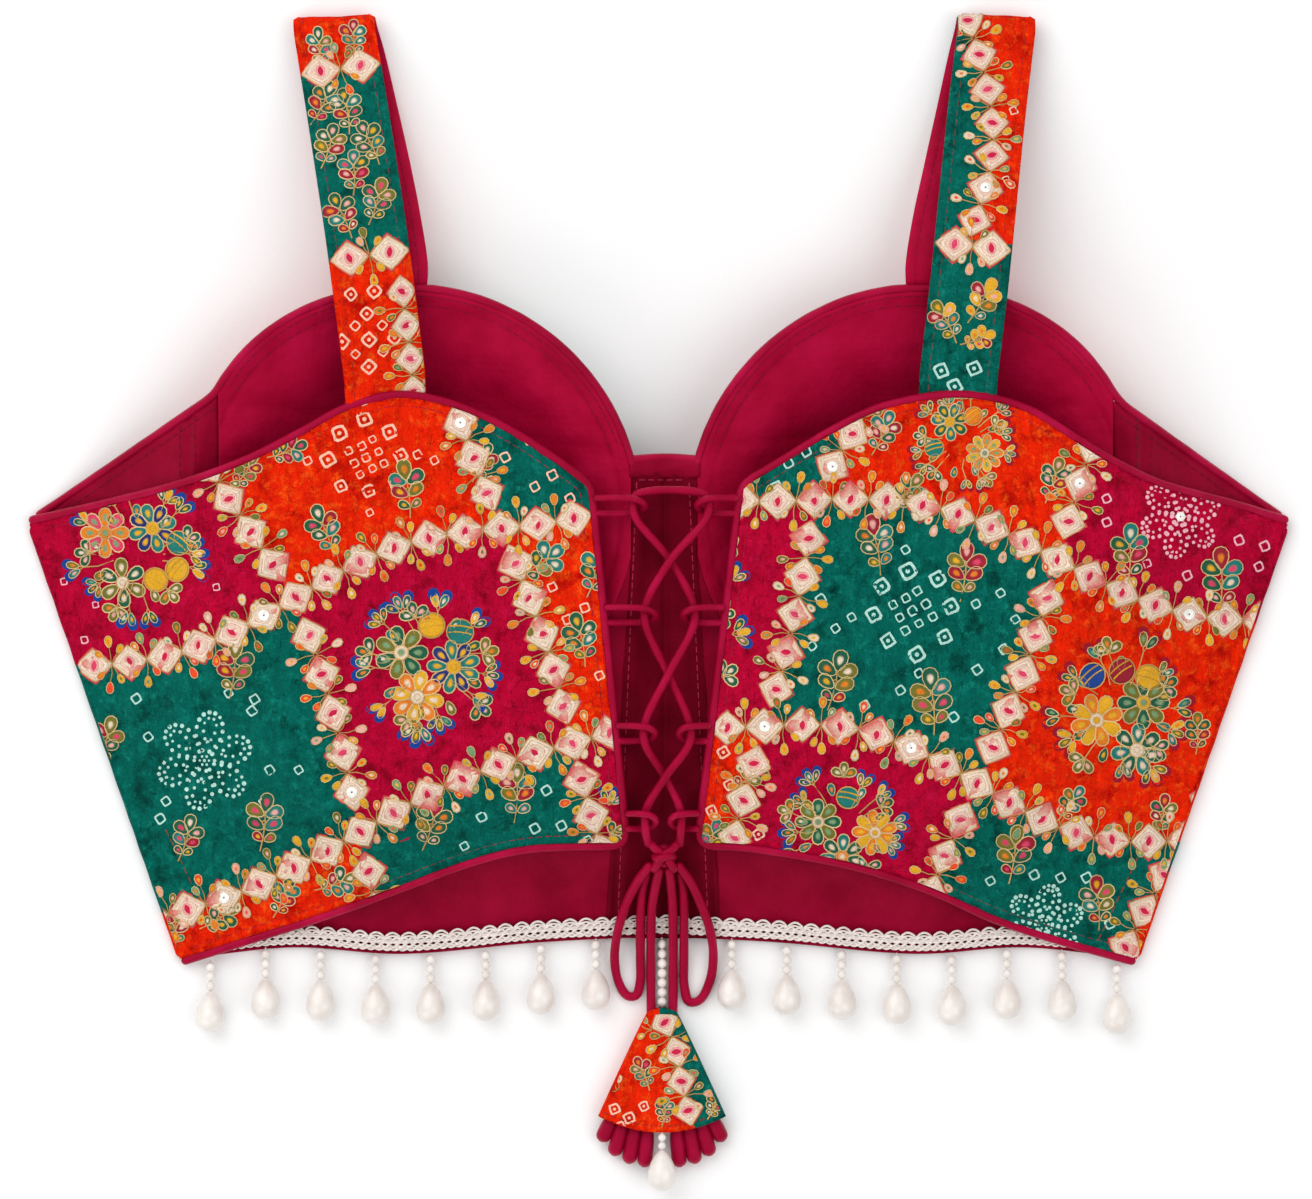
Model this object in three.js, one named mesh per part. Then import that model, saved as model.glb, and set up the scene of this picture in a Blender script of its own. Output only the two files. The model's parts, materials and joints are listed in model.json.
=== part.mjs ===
// A back-laced choli blouse lying face down on a flat surface, in millimetres.
// +X runs across the garment, +Y from its hem to its shoulder straps, and +Z up from the surface.
// The padded cups rest on the surface and hold the front panels up, the two back panels lie on top
// of them, and the straps lie folded in two above the cups. Everything is worked out from the plan
// of each panel's edges and from one height field, "held", that says how far the cups lift the cloth.
import * as THREE from "three";

// ---- driving dimensions -------------------------------------------------------------------------
const SEAM = 0.3; // gap between two pieces that are sewn together
const CLOTH = 1.6; // wall of a lined panel
const PIPING = 3; // diameter of the corded edging
const CUP_LIFT = 26; // height at which the cups hold the cloth
const CENTRE = { x: 2, reach: 17, sag: 6 }; // how far the front hangs below that between the cups
const BACK_SAG = 0.35; // share of that sag in the back
const BACK_DIP = 4.5; // how far the back sinks into a cup
const SIDE_RISE = 75; // width of the slope from a side edge up to the cups
const HEM_RISE = 80; // and from just past the hem up to the cups
const HEM_LIFT = 10; // how far past the hem that slope starts
const PARTED = { most: 2.6, within: 16 }; // clear space between front and back, closing at the side
const SIDE_TOP = { x: 214.9, y: -0.5 }; // where the back and front meet at the underarm
const SIDE_BOTTOM = { x: 163.4, y: -148.9 }; // and at the side of the hem

const CUP = {
  y: 3, // height of the cups' centres in plan
  half: 75.7, // from the centre to the edge
  flat: 0.3, // share of that which lies on the surface
  dome: 1.8, // power of the curve up to the edge
  inner: 1.95, // roundness of the edge towards the centre front
  outer: 2.2, // and towards the side, where it is squarer
  foam: 3.6, // what the pad adds to the cloth's wall
  taper: 0.25, // share of the cup over which the pad thins out to its edge
};
// Each side's own places across: the blouse isn't quite even when it is laid out.
const SIDES = {
  left: { sign: -1, cup: 83.5, cupOuter: 149.5, cupInner: 9.3, hemInner: 18, hemOuter: 128 },
  right: { sign: 1, cup: 87.5, cupOuter: 154.5, cupInner: 13.3, hemInner: 21, hemOuter: 128 },
};

// The back panels' upper edge, from the underarm to the lacing.
const NECKLINE = [
  { left: 214.9, right: 214.9, y: -0.5 },
  { left: 188, right: 195, y: 5.5 },
  { left: 159.5, right: 168.5, y: 12.7 },
  { left: 137.8, right: 151.8, y: 20.8 },
  { left: 120, right: 137, y: 30 },
  { left: 105.8, right: 124, y: 37.7 },
  { left: 88, right: 103, y: 42.2 },
  { left: 68.5, right: 77, y: 38.4 },
  { left: 50.5, right: 59, y: 30 },
  { left: 35, right: 42.5, y: 20 },
  { left: 24, right: 29, y: 12 },
];
// The back panels' lower edge, from the side to the lacing.
const BACK_HEM = [
  { left: 163.4, right: 163.4, y: -148.9 },
  { left: 139, right: 135.5, y: -141 },
  { left: 118.5, right: 116, y: -134.5 },
  { left: 88.5, right: 91.5, y: -123.7 },
  { left: 67.5, right: 66, y: -115.7 },
  { left: 47, right: 36, y: -110.2 },
  { left: 26, right: 24, y: -109 },
  { left: 12, right: 14.5, y: -109 },
];
// The front's hem, from the centre to either side.
const FRONT_HEM = [
  { out: 0, y: -141 },
  { out: 40, y: -143 },
  { out: 88, y: -147 },
  { out: 125, y: -144.8 },
  { out: 163.4, y: -148.9 },
];
// The straps' centre line: from the back panel up to the fold, and under it down to the cup.
const STRAP = { width: { left: 27.8, right: 26.6 }, cloth: 2 };
const STRAP_PATH = [
  { left: -92.9, right: 101.8, y: 49, z: 28.6, roll: 0.1 },
  { left: -94.6, right: 103.4, y: 64, z: 31.6, roll: 0.12 },
  { left: -96.9, right: 105.4, y: 82, z: 33.6, roll: 0.1 },
  { left: -99.4, right: 107.3, y: 100, z: 30.6, roll: 0.05 },
  { left: -102.6, right: 109.5, y: 120, z: 23.2, roll: 0.02 },
  { left: -106.2, right: 112, y: 142, z: 14.2, roll: 0 },
  { left: -109.4, right: 114.4, y: 161, z: 8.4, roll: 0 },
  { left: -110.6, right: 115.3, y: 168.5, z: 7.2, roll: 0 },
  { left: -110.7, right: 115.2, y: 172.2, z: 4.4, roll: 0 },
  { left: -109.9, right: 114.6, y: 168.5, z: 1.7, roll: 0 },
  { left: -107.6, right: 112.6, y: 160, z: 1.5, roll: 0 },
  { left: -103.3, right: 108.6, y: 142, z: 5.4, roll: 0 },
  { left: -98.2, right: 103.6, y: 120, z: 14.2, roll: 0 },
  { left: -94.2, right: 99.2, y: 100, z: 22.6, roll: 0 },
  { left: -92, right: 97, y: 85, z: 26.9, roll: 0 },
];
const LACE = { height: 6.3, cloth: 1.2, reach: 146, below: 0.8 };
const PEARL = { small: 1.65, drop: 4.95, dropLength: 14.1, strand: 3, centre: 7, start: 2.85, tilt: 0.115 };
// The pearl drops hang from the hem at an even pitch. Their threads aren't all the same length.
const DROPS = { first: { left: 21.4, right: 25 }, pitch: 18.8, count: 8 };
const DROP_SLACK = {
  left: [0.2, 0.6, 1, 0.6, 0.5, 0.8, 0, 2.1],
  right: [0, 0.8, 0.6, 0.3, 1, 0.5, 0.4, 2.4],
};
// The rows of lacing, from the neck down: where each loop's tip reaches across.
const LACING = [
  { y: 5.6, left: -4.6, right: 13.1 },
  { y: -31.5, left: -0.9, right: 8.4 },
  { y: -71.6, left: -1.2, right: 7 },
  { y: -101.5, left: -0.9, right: 4.1 },
];
const CORD = 3.2; // diameter of the lacing and its ties
const LOOP = { cord: 2.4, half: 2.6, rise: 3.5 }; // a loop's own cord, and how it opens round the lacing
const KNOT = { x: 1.9, y: -113.4, z: 19, across: 4, along: 4.6, thick: 3.6 };
// The bow's two loops and two tails, from the knot down over the hem to the surface.
const TIE_LOOP = {
  left: [
    { x: -3.2, y: -117, z: 18 },
    { x: -6.7, y: -121.6, z: 15 },
    { x: -10.6, y: -129, z: 11 },
    { x: -13.8, y: -139, z: 7.9 },
    { x: -15, y: -149, z: 3.4 },
    { x: -13.6, y: -157, z: 1.9 },
    { x: -10.6, y: -161.6, z: 1.9 },
    { x: -7.6, y: -161.4, z: 1.9 },
    { x: -6.3, y: -157, z: 1.9 },
    { x: -6.2, y: -149, z: 3.6 },
    { x: -6.2, y: -139, z: 7.4 },
    { x: -6, y: -131, z: 9.2 },
    { x: -5.2, y: -124.5, z: 10.6 },
    { x: -3.7, y: -119.6, z: 13.2 },
  ],
  right: [
    { x: 7, y: -117, z: 18 },
    { x: 10.4, y: -121.6, z: 15 },
    { x: 14, y: -129, z: 11 },
    { x: 17.6, y: -139, z: 7.9 },
    { x: 18.7, y: -149, z: 3.4 },
    { x: 17.4, y: -157, z: 1.9 },
    { x: 13.9, y: -163.2, z: 1.9 },
    { x: 10.4, y: -163.6, z: 1.9 },
    { x: 8.8, y: -158, z: 1.9 },
    { x: 8.7, y: -149, z: 3.6 },
    { x: 8.7, y: -139, z: 7.4 },
    { x: 8.7, y: -131, z: 9.2 },
    { x: 8.2, y: -124.5, z: 10.6 },
    { x: 7.2, y: -119.6, z: 13.2 },
  ],
};
const TIE_TAIL = {
  left: [
    { x: 0.1, y: -118.6, z: 17.2 },
    { x: -1.2, y: -125, z: 13 },
    { x: -2.3, y: -132, z: 9.6 },
    { x: -2.6, y: -141, z: 6.8 },
    { x: -2.6, y: -149, z: 3.6 },
    { x: -2.6, y: -158, z: 2.2 },
    { x: -2.5, y: -170, z: 3.5 },
  ],
  right: [
    { x: 3.7, y: -118.6, z: 17.2 },
    { x: 4.4, y: -125, z: 13 },
    { x: 4.9, y: -132, z: 9.6 },
    { x: 5, y: -141, z: 6.8 },
    { x: 5, y: -149, z: 3.6 },
    { x: 5, y: -158, z: 2.2 },
    { x: 4.9, y: -170, z: 3.5 },
  ],
};
const TASSEL = {
  x: 1.2,
  top: -167,
  bottom: -202.5,
  dip: 5.5, // the hem's bow
  narrow: 6.8,
  wide: 21.8,
  tallTop: 3.6,
  tall: 4.6,
  cloth: 1,
  pearlHeight: 8.8,
};
// Stuffed fingers, the same each side: how far from the middle each starts and ends, and where it ends.
const FINGER = { start: -198, startHeight: 4.6, root: 1.1, tip: 2.5, tipHeight: 3.1 };
const FINGERS = [
  { inner: 4, outer: 6.1, end: -220.2 },
  { inner: 7.7, outer: 11.5, end: -219 },
  { inner: 11.4, outer: 16.6, end: -216.3 },
  { inner: 14.5, outer: 21, end: -211.4 },
];

const lerp = THREE.MathUtils.lerp;
const ease = (t) => THREE.MathUtils.smoothstep(t, 0, 1);
const part = new THREE.Group();

// ---- materials ----------------------------------------------------------------------------------
const finish = (color, roughness, metalness = 0) =>
  new THREE.MeshStandardMaterial({ color, roughness, metalness });
const PRINT = finish(0xa8123c, 0.8);
const LINING = finish(0x8c0b36, 0.7);
const TRIM = finish(0xa30f40, 0.65);
const LACE_WHITE = finish(0xe0d6cd, 0.6);
const PEARL_WHITE = finish(0xf3eee6, 0.25);

// ---- plan curves --------------------------------------------------------------------------------
const curveOf = (points) =>
  new THREE.CatmullRomCurve3(points.map(([x, y]) => new THREE.Vector3(x, y, 0)), false, "centripetal");

const edgeCurve = (rows, side) => curveOf(rows.map((row) => [SIDES[side].sign * row[side], row.y]));

// The height of a curve given as rows from the centre outwards, at a place across.
const frontHemCurve = curveOf(FRONT_HEM.map((row) => [row.out, row.y]));
const frontHemPoints = frontHemCurve.getPoints(80);
function frontHem(x) {
  const out = Math.abs(x);
  const next = frontHemPoints.findIndex((p) => p.x >= out);
  if (next <= 0) return frontHemPoints[next === 0 ? 0 : frontHemPoints.length - 1].y;
  const [a, b] = [frontHemPoints[next - 1], frontHemPoints[next]];
  return lerp(a.y, b.y, (out - a.x) / (b.x - a.x));
}

// How far across the side edge is at a height in plan.
function sideEdge(y) {
  const t = THREE.MathUtils.clamp((SIDE_TOP.y - y) / (SIDE_TOP.y - SIDE_BOTTOM.y), 0, 1);
  return lerp(SIDE_TOP.x, SIDE_BOTTOM.x, t);
}

// ---- the height field ---------------------------------------------------------------------------
const cupOf = (x) => (x < 0 ? SIDES.left : SIDES.right);

// Distance from the cup's centre as a share of its edge's, on its own rounded-square outline.
function cupShare(x, y) {
  const { sign, cup } = cupOf(x);
  const dx = sign * x - cup;
  const power = dx < 0 ? CUP.inner : CUP.outer;
  const across = Math.abs(dx / CUP.half) ** power;
  return (across + Math.abs((y - CUP.y) / CUP.half) ** power) ** (1 / power);
}

// The cup's edge at a place across: how far above and below the centre it is.
function cupReach(dx) {
  const power = dx < 0 ? CUP.inner : CUP.outer;
  return CUP.half * Math.max(0, 1 - Math.abs(dx / CUP.half) ** power) ** (1 / power);
}

// The height at which the cups hold the cloth, falling to the surface at the sides and the hem.
function held(x, y, sag) {
  const fromSide = Math.max(0, sideEdge(y) - Math.abs(x));
  const fromHem = Math.max(0, y - frontHem(x) + HEM_LIFT);
  const lift = CUP_LIFT - sag * Math.exp(-(((x - CENTRE.x) / CENTRE.reach) ** 2));
  return lift * ease(fromSide / SIDE_RISE) * ease(fromHem / HEM_RISE);
}

// The outer face of the front, which faces the surface.
function frontUnder(x, y) {
  const share = cupShare(x, y);
  const dome = share >= 1 ? 1 : Math.max(0, (share - CUP.flat) / (1 - CUP.flat)) ** CUP.dome;
  return held(x, y, CENTRE.sag) * dome;
}

// The wall measured straight up, so that it keeps its thickness on a slope.
function upright(under, x, y, wall) {
  const step = 1.5;
  const dx = (under(x + step, y) - under(x - step, y)) / (2 * step);
  const dy = (under(x, y + step) - under(x, y - step)) / (2 * step);
  return wall * Math.min(1.35, Math.hypot(1, dx, dy));
}

const frontWall = (x, y) => upright(frontUnder, x, y, CLOTH);
const cupWall = (x, y) => frontWall(x, y) + CUP.foam * ease((1 - cupShare(x, y)) / CUP.taper);
const frontTop = (x, y) => frontUnder(x, y) + frontWall(x, y);

// The lining face of the back, which lies on the front and dips a little into the cups.
function backUnder(x, y) {
  const share = cupShare(x, y);
  const dip = share < 1 ? BACK_DIP * (1 - share * share) ** 2 : 0;
  const parted = SEAM + PARTED.most * ease((sideEdge(y) - Math.abs(x)) / PARTED.within);
  return Math.max(held(x, y, BACK_SAG * CENTRE.sag) - dip, 0) + 1.05 * CLOTH + parted;
}
const backWall = (x, y) => upright(backUnder, x, y, CLOTH);

// ---- solids -------------------------------------------------------------------------------------
function add(name, geometry, material) {
  const mesh = new THREE.Mesh(geometry, material);
  mesh.name = name;
  part.add(mesh);
  return mesh;
}

// A closed solid through rings of points, each ring with the same number of them.
function loft(rings) {
  const n = rings[0].length;
  const positions = rings.flat().flatMap((p) => [p.x, p.y, p.z]);
  const faces = [];
  for (let i = 0; i + 1 < rings.length; i++) {
    for (let j = 0; j < n; j++) {
      const [a, b] = [i * n + j, i * n + ((j + 1) % n)];
      faces.push(a, b, b + n, a, b + n, a + n);
    }
  }
  // A ring is two rows of points, back to back, so an end is capped by a strip between them.
  for (const [start, flip] of [[0, true], [(rings.length - 1) * n, false]]) {
    for (let j = 0; j + 1 < n / 2; j++) {
      const [a, b, c, d] = [start + j, start + j + 1, start + n - 2 - j, start + n - 1 - j];
      faces.push(...(flip ? [a, c, b, a, d, c] : [a, b, c, a, c, d]));
    }
  }
  return closed(positions, faces);
}

// Faces turned so that they point out.
function closed(positions, faces) {
  const at = (i) => new THREE.Vector3().fromArray(positions, 3 * i);
  let volume = 0;
  for (let i = 0; i < faces.length; i += 3) {
    volume += at(faces[i]).dot(at(faces[i + 1]).cross(at(faces[i + 2])));
  }
  const geometry = new THREE.BufferGeometry();
  geometry.setAttribute("position", new THREE.Float32BufferAttribute(positions, 3));
  geometry.setIndex(volume < 0 ? faces.reverse() : faces);
  return geometry;
}

// A cloth panel between two plan curves, in sections across it from one to the other. A power over
// 1 brings the points of a section closer together near its start, where the cloth bends most.
function panel(from, to, sections, points, under, wall, power = 1) {
  const rings = [];
  for (let i = 0; i <= sections; i++) {
    const [a, b] = [from(i / sections), to(i / sections)];
    const row = [];
    for (let j = 0; j <= points; j++) {
      row.push(new THREE.Vector3().lerpVectors(a, b, (j / points) ** power));
    }
    const low = row.map((p) => new THREE.Vector3(p.x, p.y, under(p.x, p.y)));
    const high = row.map((p) => new THREE.Vector3(p.x, p.y, under(p.x, p.y) + wall(p.x, p.y)));
    rings.push([...low, ...high.reverse()]);
  }
  return loft(rings);
}

// A cord through points, with as many steps as its length needs.
function cord(points, diameter, sides = 8, step = 3 * diameter) {
  const curve = new THREE.CatmullRomCurve3(points, false, "centripetal");
  const round = new THREE.Shape();
  for (let i = 0; i < sides; i++) {
    const turn = (2 * Math.PI * i) / sides;
    const [x, y] = [(diameter / 2) * Math.cos(turn), (diameter / 2) * Math.sin(turn)];
    if (i) round.lineTo(x, y);
    else round.moveTo(x, y);
  }
  const steps = Math.max(3, Math.round(curve.getLength() / step));
  return new THREE.ExtrudeGeometry(round, { steps, extrudePath: curve, bevelEnabled: false });
}

// A corded edging through points, with a six-sided section at each.
function edging(points) {
  const up = new THREE.Vector3(0, 0, 1);
  const rings = points.map((p, i) => {
    const [a, b] = [points[Math.max(0, i - 1)], points[Math.min(points.length - 1, i + 1)]];
    const across = b.clone().sub(a).cross(up).normalize();
    const top = across.clone().cross(b.clone().sub(a)).normalize();
    return Array.from({ length: 6 }, (_, j) => {
      const turn = (Math.PI * (2 * j + 1)) / 6;
      const out = across.clone().multiplyScalar(Math.cos(turn)).addScaledVector(top, Math.sin(turn));
      return p.clone().addScaledVector(out, PIPING / 2);
    });
  });
  return loft(rings);
}

// Points along a panel's edge, moved out in plan, further at a corner, at the middle of its wall.
function beside(edge, out, under, wall) {
  const direction = (a, b) => new THREE.Vector2(b.x - a.x, b.y - a.y).normalize();
  return edge.map((p, i) => {
    const before = direction(edge[Math.max(0, i - 1)], edge[Math.max(1, i)]);
    const after = direction(edge[Math.min(edge.length - 2, i)], edge[Math.min(edge.length - 1, i + 1)]);
    const along = before.clone().add(after).normalize();
    const reach = out / Math.max(0.7, along.dot(before));
    const z = Math.max(PIPING / 2 + 0.1, under(p.x, p.y) + wall(p.x, p.y) / 2);
    return new THREE.Vector3(p.x - along.y * reach, p.y + along.x * reach, z);
  });
}

// ---- back panels --------------------------------------------------------------------------------
const PIPING_OUT = PIPING / 2 + 1.4 * SEAM; // from a panel's edge to the middle of its piping

function backPanel(side) {
  const [neck, hem] = [edgeCurve(NECKLINE, side), edgeCurve(BACK_HEM, side)];
  const at = (curve) => (t) => curve.getPointAt(t);
  add(`back_${side}`, panel(at(hem), at(neck), 18, 10, backUnder, backWall), PRINT);

  const top = neck.getSpacedPoints(22);
  const bottom = hem.getSpacedPoints(16).reverse();
  const lacing = [0.05, 0.16, 0.28, 0.4, 0.52, 0.64, 0.76, 0.87, 0.95].map((t) =>
    new THREE.Vector3().lerpVectors(top.at(-1), bottom[0], t),
  );
  const turn = side === "left" ? 1 : -1;
  const edge = [...top, ...lacing, ...bottom];
  add(`back_piping_${side}`, edging(beside(edge, turn * PIPING_OUT, backUnder, backWall)), TRIM);
}

// ---- front --------------------------------------------------------------------------------------
const CUP_SECTIONS = 15;

// How far across a cup's sections are: closer together where its edge turns down to the centre.
function cupAcross(side, t) {
  const turn = (s) => Math.cos(Math.PI * (0.12 + 0.82 * s));
  return lerp(SIDES[side].cupOuter, SIDES[side].cupInner, (turn(0) - turn(t)) / (turn(0) - turn(1)));
}

// A cup is made of sections across it, each from its lower edge to its upper one.
function cup(side) {
  const { sign, cup: centre } = SIDES[side];
  const edge = (up) => (t) => {
    const x = cupAcross(side, t);
    return new THREE.Vector3(sign * x, CUP.y + up * cupReach(x - centre), 0);
  };
  add(`cup_${side}`, panel(edge(-1), edge(1), CUP_SECTIONS, 12, frontUnder, cupWall), LINING);
}

// Below the cup, down to the hem.
function frontLower(side) {
  const { sign, cup: centre, hemInner, hemOuter } = SIDES[side];
  const upper = (t) => {
    const x = cupAcross(side, t);
    const slope = cupReach(x - centre + 0.5) - cupReach(x - centre - 0.5);
    return new THREE.Vector3(sign * x, CUP.y - cupReach(x - centre) - SEAM * Math.hypot(1, slope), 0);
  };
  const lower = (t) => {
    const x = sign * lerp(hemOuter, hemInner, t);
    return new THREE.Vector3(x, frontHem(x), 0);
  };
  add(`front_lower_${side}`, panel(lower, upper, CUP_SECTIONS, 6, frontUnder, frontWall, 1.5), LINING);
}

// From the side edge to the cup and the lower panel.
function frontSide(side) {
  const { sign, cup: centre, cupOuter, hemOuter } = SIDES[side];
  const reach = cupReach(cupOuter - centre);
  const seam = [
    { y: CUP.y + reach - 1, x: cupOuter },
    { y: CUP.y - reach, x: cupOuter },
    { y: frontHem(hemOuter), x: hemOuter },
  ];
  const topSlope = (seam[0].y - SIDE_TOP.y) / (SIDE_TOP.x - cupOuter);
  const innerEdge = (t) => {
    const bend = 0.42;
    const [a, b, s] = t < bend ? [seam[0], seam[1], t / bend] : [seam[1], seam[2], (t - bend) / (1 - bend)];
    const x = lerp(a.x, b.x, s) + 2 * SEAM;
    const y = lerp(a.y, b.y, s) - (t < bend ? 2 * SEAM * topSlope * (1 - s) : 0);
    return new THREE.Vector3(sign * x, y, 0);
  };
  const outerEdge = (t) => {
    const x = lerp(SIDE_TOP.x, SIDE_BOTTOM.x, t);
    return new THREE.Vector3(sign * x, lerp(SIDE_TOP.y, SIDE_BOTTOM.y, t), 0);
  };
  add(`front_side_${side}`, panel(outerEdge, innerEdge, 12, 6, frontUnder, frontWall), LINING);
}

// Between the two princess seams.
function frontCentre() {
  const edge = (side) => (t) => {
    const { sign, cup: centre, cupInner, hemInner } = SIDES[side];
    const reach = cupReach(cupInner - centre);
    const [top, corner] = [CUP.y + reach, CUP.y - reach];
    const bend = 0.24;
    const down = t < bend ? 0 : (t - bend) / (1 - bend);
    const x = lerp(cupInner, hemInner, down) - 1.7 * SEAM;
    const y = t < bend ? lerp(top, corner, t / bend) : lerp(corner, frontHem(hemInner), down);
    return new THREE.Vector3(sign * x, y, 0);
  };
  add("front_centre", panel(edge("left"), edge("right"), 14, 5, frontUnder, frontWall), LINING);
}

// The corded edge along the underarm and over the cup, down to the centre front.
function frontPiping(side) {
  const { sign, cup: centre, cupOuter, cupInner } = SIDES[side];
  const corner = new THREE.Vector3(sign * cupOuter, CUP.y + cupReach(cupOuter - centre) - 1, 0);
  const underarm = [0.1, 0.25, 0.45, 0.65, 0.85].map((t) =>
    new THREE.Vector3(sign * SIDE_TOP.x, SIDE_TOP.y, 0).lerp(corner, t),
  );
  const rim = [];
  const turns = 16;
  for (let i = 0; i <= turns; i++) {
    const x = centre + CUP.half * Math.cos(lerp(0.52, Math.PI - 0.25, i / turns));
    rim.push(new THREE.Vector3(sign * Math.max(x, cupInner), CUP.y + cupReach(x - centre), 0));
  }
  const turn = side === "left" ? 1 : -1;
  const edge = [...underarm, ...rim];
  add(`front_piping_${side}`, edging(beside(edge, turn * PIPING_OUT, frontUnder, frontWall)), TRIM);
}

// ---- straps -------------------------------------------------------------------------------------
// A strap is a flat band through sections across its centre line, each rolled a little.
function strap(side) {
  const [width, half] = [STRAP.width[side], STRAP.cloth / 2];
  const path = new THREE.CatmullRomCurve3(
    STRAP_PATH.map((row) => new THREE.Vector3(row[side], row.y, row.z)),
    false,
    "centripetal",
  );
  const lean = Math.atan2(STRAP_PATH[7][side] - STRAP_PATH[0][side], STRAP_PATH[7].y - STRAP_PATH[0].y);
  const sections = 34;
  const rings = [];
  for (let i = 0; i <= sections; i++) {
    const t = i / sections;
    const at = t * (STRAP_PATH.length - 1);
    const row = Math.min(Math.floor(at), STRAP_PATH.length - 2);
    const roll = SIDES[side].sign * lerp(STRAP_PATH[row].roll, STRAP_PATH[row + 1].roll, at - row);
    const across = new THREE.Vector3(Math.cos(lean), -Math.sin(lean), Math.sin(roll)).normalize();
    const out = new THREE.Vector3().crossVectors(across, path.getTangent(t)).normalize();
    const corner = (u, n) =>
      path.getPoint(t).addScaledVector(across, u * width).addScaledVector(out, n * half);
    const spread = [-0.5, 0, 0.5];
    rings.push([...spread.map((u) => corner(u, -1)), ...spread.toReversed().map((u) => corner(u, 1))]);
  }
  add(`strap_${side}`, loft(rings), PRINT);
}

// ---- lace and pearls ----------------------------------------------------------------------------
function laceTrim() {
  const across = (t) => lerp(-LACE.reach, LACE.reach, t);
  const edge = (up) => (t) => new THREE.Vector3(across(t), frontHem(across(t)) + LACE.below + up, 0);
  const under = (x, y) => frontTop(x, y) + 2.6 * SEAM;
  add("hem_lace", panel(edge(0), edge(LACE.height), 34, 1, under, () => LACE.cloth), LACE_WHITE);
}

// A strand of small pearls along -Y from the origin, with a drop pearl at its end.
function strandGeometry(count, withDrop, small) {
  const neck = 0.7;
  const profile = [new THREE.Vector2(0, 0)];
  for (let i = 0; i < count; i++) {
    const start = i * 2 * small;
    profile.push(new THREE.Vector2(neck, start + 0.25));
    profile.push(new THREE.Vector2(small, start + small));
  }
  const end = count * 2 * small;
  profile.push(new THREE.Vector2(neck, end + 0.1));
  if (withDrop) {
    const bulge = [[0.45, 0.18], [0.82, 0.42], [1, 0.65], [0.72, 0.9]];
    for (const [r, along] of bulge) {
      profile.push(new THREE.Vector2(r * PEARL.drop, end + along * PEARL.dropLength));
    }
    profile.push(new THREE.Vector2(0, end + PEARL.dropLength));
  } else {
    profile.push(new THREE.Vector2(0, end + 0.3));
  }
  return new THREE.LatheGeometry(profile, 8).rotateX(Math.PI);
}

function pearls(name, x, y, z, count, withDrop, small = PEARL.small) {
  const mesh = add(name, strandGeometry(count, withDrop, small), PEARL_WHITE);
  mesh.position.set(x, y, z);
  return mesh;
}

function hemPearls() {
  for (const side of ["left", "right"]) {
    for (let i = 0; i < DROPS.count; i++) {
      const x = SIDES[side].sign * (DROPS.first[side] + i * DROPS.pitch);
      const y = frontHem(x) - SEAM - DROP_SLACK[side][i];
      const drop = pearls(`pearl_drop_${side}_${i + 1}`, x, y, PEARL.start, PEARL.strand, true);
      drop.rotation.x = -PEARL.tilt;
    }
  }
  pearls("pearl_string_centre", TASSEL.x, frontHem(TASSEL.x) - 4 * SEAM, PEARL.start, PEARL.centre, false);
}

// ---- lacing -------------------------------------------------------------------------------------
// Height at which the lacing runs, level with the edges of the back panels.
const laceHeight = (y) => backUnder(20, y) + CLOTH / 2 + 1.6;

// Where a back panel's piping ends towards the lacing, at a height in plan.
function lacingEdge(side, y) {
  const [a, b] = [NECKLINE.at(-1), BACK_HEM.at(-1)];
  const x = lerp(a[side], b[side], (a.y - y) / (a.y - b.y)) - 4 * SEAM - PIPING_OUT - PIPING / 2;
  return SIDES[side].sign * x;
}

// A loop leaves the piping over the lacing and comes back under it.
function lacingLoop(side, row, number) {
  const start = lacingEdge(side, row.y);
  const tip = row[side];
  const z = laceHeight(row.y);
  const path = [
    [0, LOOP.half, 0.4],
    [0.4, LOOP.half, 1],
    [0.8, LOOP.half * 0.8, 1],
    [1, 0, 0],
    [0.8, -LOOP.half * 0.8, -1],
    [0.4, -LOOP.half, -1],
    [0, -LOOP.half, -0.4],
  ].map(([t, up, rise]) => new THREE.Vector3(lerp(start, tip, t), row.y + up, z + rise * LOOP.rise));
  add(`lacing_loop_${side}_${number}`, cord(path, LOOP.cord, 6, 3.4), TRIM);
}

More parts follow.
